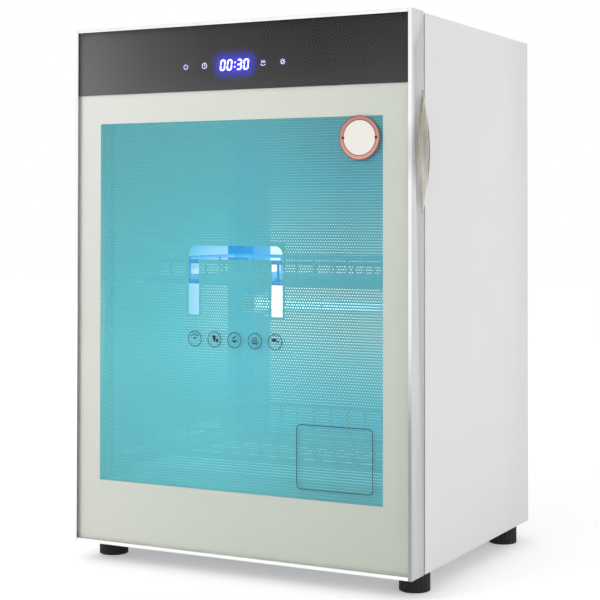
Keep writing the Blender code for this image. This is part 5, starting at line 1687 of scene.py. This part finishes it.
turns = [math.tau * step / RAYS for step in range(RAYS)]
sun_rays = [[(r * math.cos(a), r * math.sin(a)) for r in (RAY_START, RAY_END)] for a in turns]
waves = [
    [(x + 0.5 * math.sin(step * 0.9), step * 0.45) for step in range(7)] for x in (-1.7, 0.2, 2.1)
]
ICON_LINES = {
    "power": [circle_points((0, 0), 2.5, 128, 412, 28), [(0, 0.9), (0, 3.2)]],
    "timer": [circle_points((0, 0), 3.0), [(0, 1.6), (0, 0), (1.0, -0.7)]],
    "warm_air": [*waves, oval((0, -0.8), 3.2, 1.9, 195, 345)],
    "sun_lamp": [circle_points((0, 0), 1.7, steps=20), *sun_rays],
}
for kind, centre in ICONS.items():
    outlines = drawn(centre, ICON_LINES[kind], ICON_PEN)
    icon = artwork("touch_icon_" + kind, outlines, icon_light, BEHIND_PANE_Y)
    finished_piece(icon, "door", "display_black")
print("icons:", list(ICONS))

# %% [markdown]
# ## Screws and louvres
# The rear cover and the hinge plates are held by small cross-head screws, and the cover has
# rows of pressed louvres that let the fan draw air. One head and one louvre are drawn once;
# a tree then sets a copy on each point of a list of places.

# %% The tree that sets a copy on each point
def on_points_tree():
    inputs = {"Copy": "Object", "Turn": "Rotation", "Size": "Float"}
    tree, given = new_tree("copies_on_points", inputs)
    one = add_node(tree, "GeometryNodeObjectInfo", {"Object": given["Copy"]}).outputs["Geometry"]
    plugs = {"Points": given["Geometry"], "Instance": one}
    return end_tree(tree, given, {**plugs, "Rotation": given["Turn"], "Scale": given["Size"]})


points_tree = on_points_tree()


def copies_on(name, places, copy, finish, turn=(0, 0, 0)):
    values = {"Copy": copy, "Finish": finish, "Turn": turn, "Size": 1.0}
    return grown_piece(name, points_tree, values, places)


print("nodes in the tree:", len(points_tree.nodes))

# %% [markdown]
# A screw head is a low dome with a cross sunk in it. It is built ring by ring, from the
# outside in, and the last ring is pulled into the shape of the cross.

# %% One screw head
HEAD_SIDES = 16
CROSS_TIP, CROSS_FLANK, CROSS_INNER = 0.42, 0.3, 0.12
PIT_SHARE = 0.35


def screw_head(name, radius, height):
    """A domed head that stands on z = 0 and points up +Z, with a cross cut in it."""
    work = bmesh.new()
    cross = [CROSS_TIP, CROSS_FLANK, CROSS_INNER, CROSS_FLANK] * 4
    shape = [([1.0], 0), ([1.0], 0.35), ([0.82], 0.78), ([0.45], 1.0), (cross, 0.98)]
    turns = [math.tau * step / HEAD_SIDES for step in range(HEAD_SIDES)]
    rings = []
    for reaches, share in shape:
        spokes = zip(reaches * (HEAD_SIDES // len(reaches)), turns)
        spots = [(radius * r * math.cos(a), radius * r * math.sin(a)) for r, a in spokes]
        rings.append([work.verts.new((*spot, height * share)) for spot in spots])
    stitch(work, rings, closed=True)
    pit = work.verts.new((0, 0, height * PIT_SHARE))
    for corner, after in zip(rings[-1], rings[-1][1:] + rings[-1][:1]):
        work.faces.new((corner, after, pit))
    work.faces.new(list(reversed(rings[0])))
    bmesh.ops.recalc_face_normals(work, faces=work.faces)
    return mesh_piece(name, work, zinc_steel)


head = screw_head("screw_head", 3.0 * MM, 1.3 * MM)
print("faces in one head:", len(head.data.polygons))

# %% [markdown]
# The cover's screws run down both edges and along the top and the bottom. The hinge plate
# on the roof has two.

# %% Screw the cabinet together
EDGE = 8 * MM
EDGE_SCREW_SHARES = (0.02, 0.26, 0.5, 0.74, 0.98)
SCREW_ACROSS = 0.09
HINGE_SCREWS_MM = (6, 20)
cover_low, cover_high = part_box("rear_cover")
cover_places = []
for side in (-1, 1):
    for share in EDGE_SCREW_SHARES:
        height = cover_low.z + share * (cover_high.z - cover_low.z)
        cover_places.append((side * (cover_high.x - EDGE), cover_high.y, height))
for across in (-SCREW_ACROSS, SCREW_ACROSS):
    for height in (cover_high.z - EDGE, cover_low.z + EDGE):
        cover_places.append((across, cover_high.y, height))
heads_back = (math.radians(-90), 0, 0)
cover_screws = copies_on("rear_cover_screws", cover_places, head, zinc_steel, heads_back)
finished_piece(cover_screws, "cabinet", "zinc_steel")
plate_low, plate_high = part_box("hinge_bracket_top")
plate_x = (plate_low.x + plate_high.x) / 2
plate_places = [(plate_x, plate_high.y - gap * MM, plate_high.z) for gap in HINGE_SCREWS_MM]
hinge_screws = copies_on("top_hinge_screws", plate_places, head, zinc_steel)
finished_piece(hinge_screws, "cabinet", "zinc_steel")
print("cover screws:", len(cover_places), "hinge screws:", len(plate_places))

# %% [markdown]
# A louvre is a slit whose upper lip is pressed outwards into a half-round hood, open at the
# bottom. Its cross-section is a quarter arch, and its ends close down to the sheet.

# %% One louvre
HOOD_SLICES, HOOD_STEPS = 16, 5
HOOD_SHEET = 0.25 * MM
HOOD_LIFT = 0.05 * MM


def louvre_hood(name, length, height, reach):
    """A hood on the plane y = 0 that bulges towards +Y, open at its lower edge."""
    work = bmesh.new()
    turns = [math.radians(90 * step / HOOD_STEPS) for step in range(HOOD_STEPS + 1)]
    rows = []
    for index in range(HOOD_SLICES + 1):
        along = 2 * index / HOOD_SLICES - 1
        bulge = reach * math.sqrt(max(0.0, 1 - abs(along) ** 4))
        x = along * length / 2
        arc = [(x, bulge * math.cos(a) + HOOD_LIFT, height * (math.sin(a) - 0.5)) for a in turns]
        rows.append([work.verts.new(spot) for spot in arc])
    stitch(work, rows)
    look_towards(work, TOWARDS_REAR)
    bmesh.ops.solidify(work, geom=work.faces[:], thickness=HOOD_SHEET)
    bmesh.ops.recalc_face_normals(work, faces=work.faces)
    return mesh_piece(name, work, white_coat)


louvre = louvre_hood("louvre_hood", 46 * MM, 5 * MM, 3.2 * MM)
print("faces in one louvre:", len(louvre.data.polygons))

# %% [markdown]
# Three columns of louvres sit low on the cover, behind the fan and its heater, and a thin
# black strip under each hood is painted shade for the dark opening.

# %% Press the louvres
LOUVRE_COLUMNS = (-0.056, 0.0, 0.056)
LOUVRE_HEIGHTS = [0.118 + row * 10 * MM for row in range(6)]
SLIT_HALF = 21 * MM
SLIT_LOW, SLIT_TOP = 2.6 * MM, 1.0 * MM
SLIT_THICKNESS = 0.06 * MM
louvre_places = [(x, cover_high.y, z) for x in LOUVRE_COLUMNS for z in LOUVRE_HEIGHTS]
hoods = copies_on("rear_louvres", louvre_places, louvre, white_coat)
finished_piece(hoods, "cabinet", "white_paint")
# Painted shade: a black strip under each hood stands for the dark opening.
slits = []
for across, _, height in louvre_places:
    left, right = across - SLIT_HALF, across + SLIT_HALF
    low, top = height - SLIT_LOW, height - SLIT_TOP
    slits.append([(left, low), (right, low), (right, top), (left, top)])
opening_shade_strips = artwork("louvre_slits", slits, abs_black, cover_high.y, -SLIT_THICKNESS)
finished_piece(opening_shade_strips, "cabinet", "black_plastic")
for original in (head, louvre):
    bpy.data.objects.remove(original)
print("louvres:", len(louvre_places))

# %% [markdown]
# ## Floor
# A wide pale floor and a white world give the plain catalogue look. What the eye sees of
# both is lifted to white with Is Camera Ray, which adds no light to the cabinet, and the
# floor keeps the soft shadow under it.

# %% Floor and world
FLOOR_SIZE = 14
FLOOR_LIFT = 0.3
WORLD_LIGHT = 0.75


def not_lighting(tree):
    """One for the eye, for mirrors and through glass, zero for light that falls on things."""
    rays = add_node(tree, "ShaderNodeLightPath").outputs
    eye = calc(tree, "MAXIMUM", rays["Is Camera Ray"], rays["Is Glossy Ray"])
    return calc(tree, "MAXIMUM", eye, rays["Is Transmission Ray"])


floor_finish, tree, shader, _ = new_finish("white_studio_floor", "#f2f2f2", Roughness=0.7)
strength = calc(tree, "MULTIPLY", not_lighting(tree), FLOOR_LIFT)
lift = add_node(tree, "ShaderNodeEmission", {"Strength": strength}).outputs["Emission"]
plugs = {0: shader.outputs["BSDF"], 1: lift}
show_instead(tree, add_node(tree, "ShaderNodeAddShader", plugs).outputs["Shader"])
bpy.ops.mesh.primitive_plane_add(size=FLOOR_SIZE)
floor = bpy.context.object
floor.name = "studio_floor"
give_finish(floor, floor_finish)

world = bpy.data.worlds.new("white_studio")
scene.world = world
world.use_nodes = True
tree = world.node_tree
tree.nodes.clear()
level = between(tree, not_lighting(tree), WORLD_LIGHT, 1.0, 0.0, 1.0)
sky = add_node(tree, "ShaderNodeBackground", {"Color": paint("#ffffff"), "Strength": level})
add_node(tree, "ShaderNodeOutputWorld", {"Surface": sky.outputs["Background"]})
print("world light:", WORLD_LIGHT)

# %% [markdown]
# ## Light
# Two large soft lamps add a slight direction, one from the upper left of the viewer and one
# low on the right, which keeps the lower part of the side panel as pale as its top. Neither
# shows as a bright square in the glass, because gloss is told to look past them.

# %% Soft lamps
SOFTBOX_SIZE = 2.0
SOFTBOX_AIM = Vector((0, 0, 0.3))


def soft_lamp(name, place, watts):
    light = bpy.data.lights.new(name, "AREA")
    light.energy = watts
    light.size = SOFTBOX_SIZE
    lamp = new_object(name, light)
    lamp.location = place
    lamp.rotation_euler = (SOFTBOX_AIM - Vector(place)).to_track_quat("-Z", "Y").to_euler()
    lamp.visible_glossy = False


soft_lamp("upper_left_softbox", (-1.6, -2.6, 2.4), 38)
soft_lamp("right_softbox", (2.8, -0.6, 0.12), 20.5)
print("lamps:", [light.name for light in bpy.data.lights])
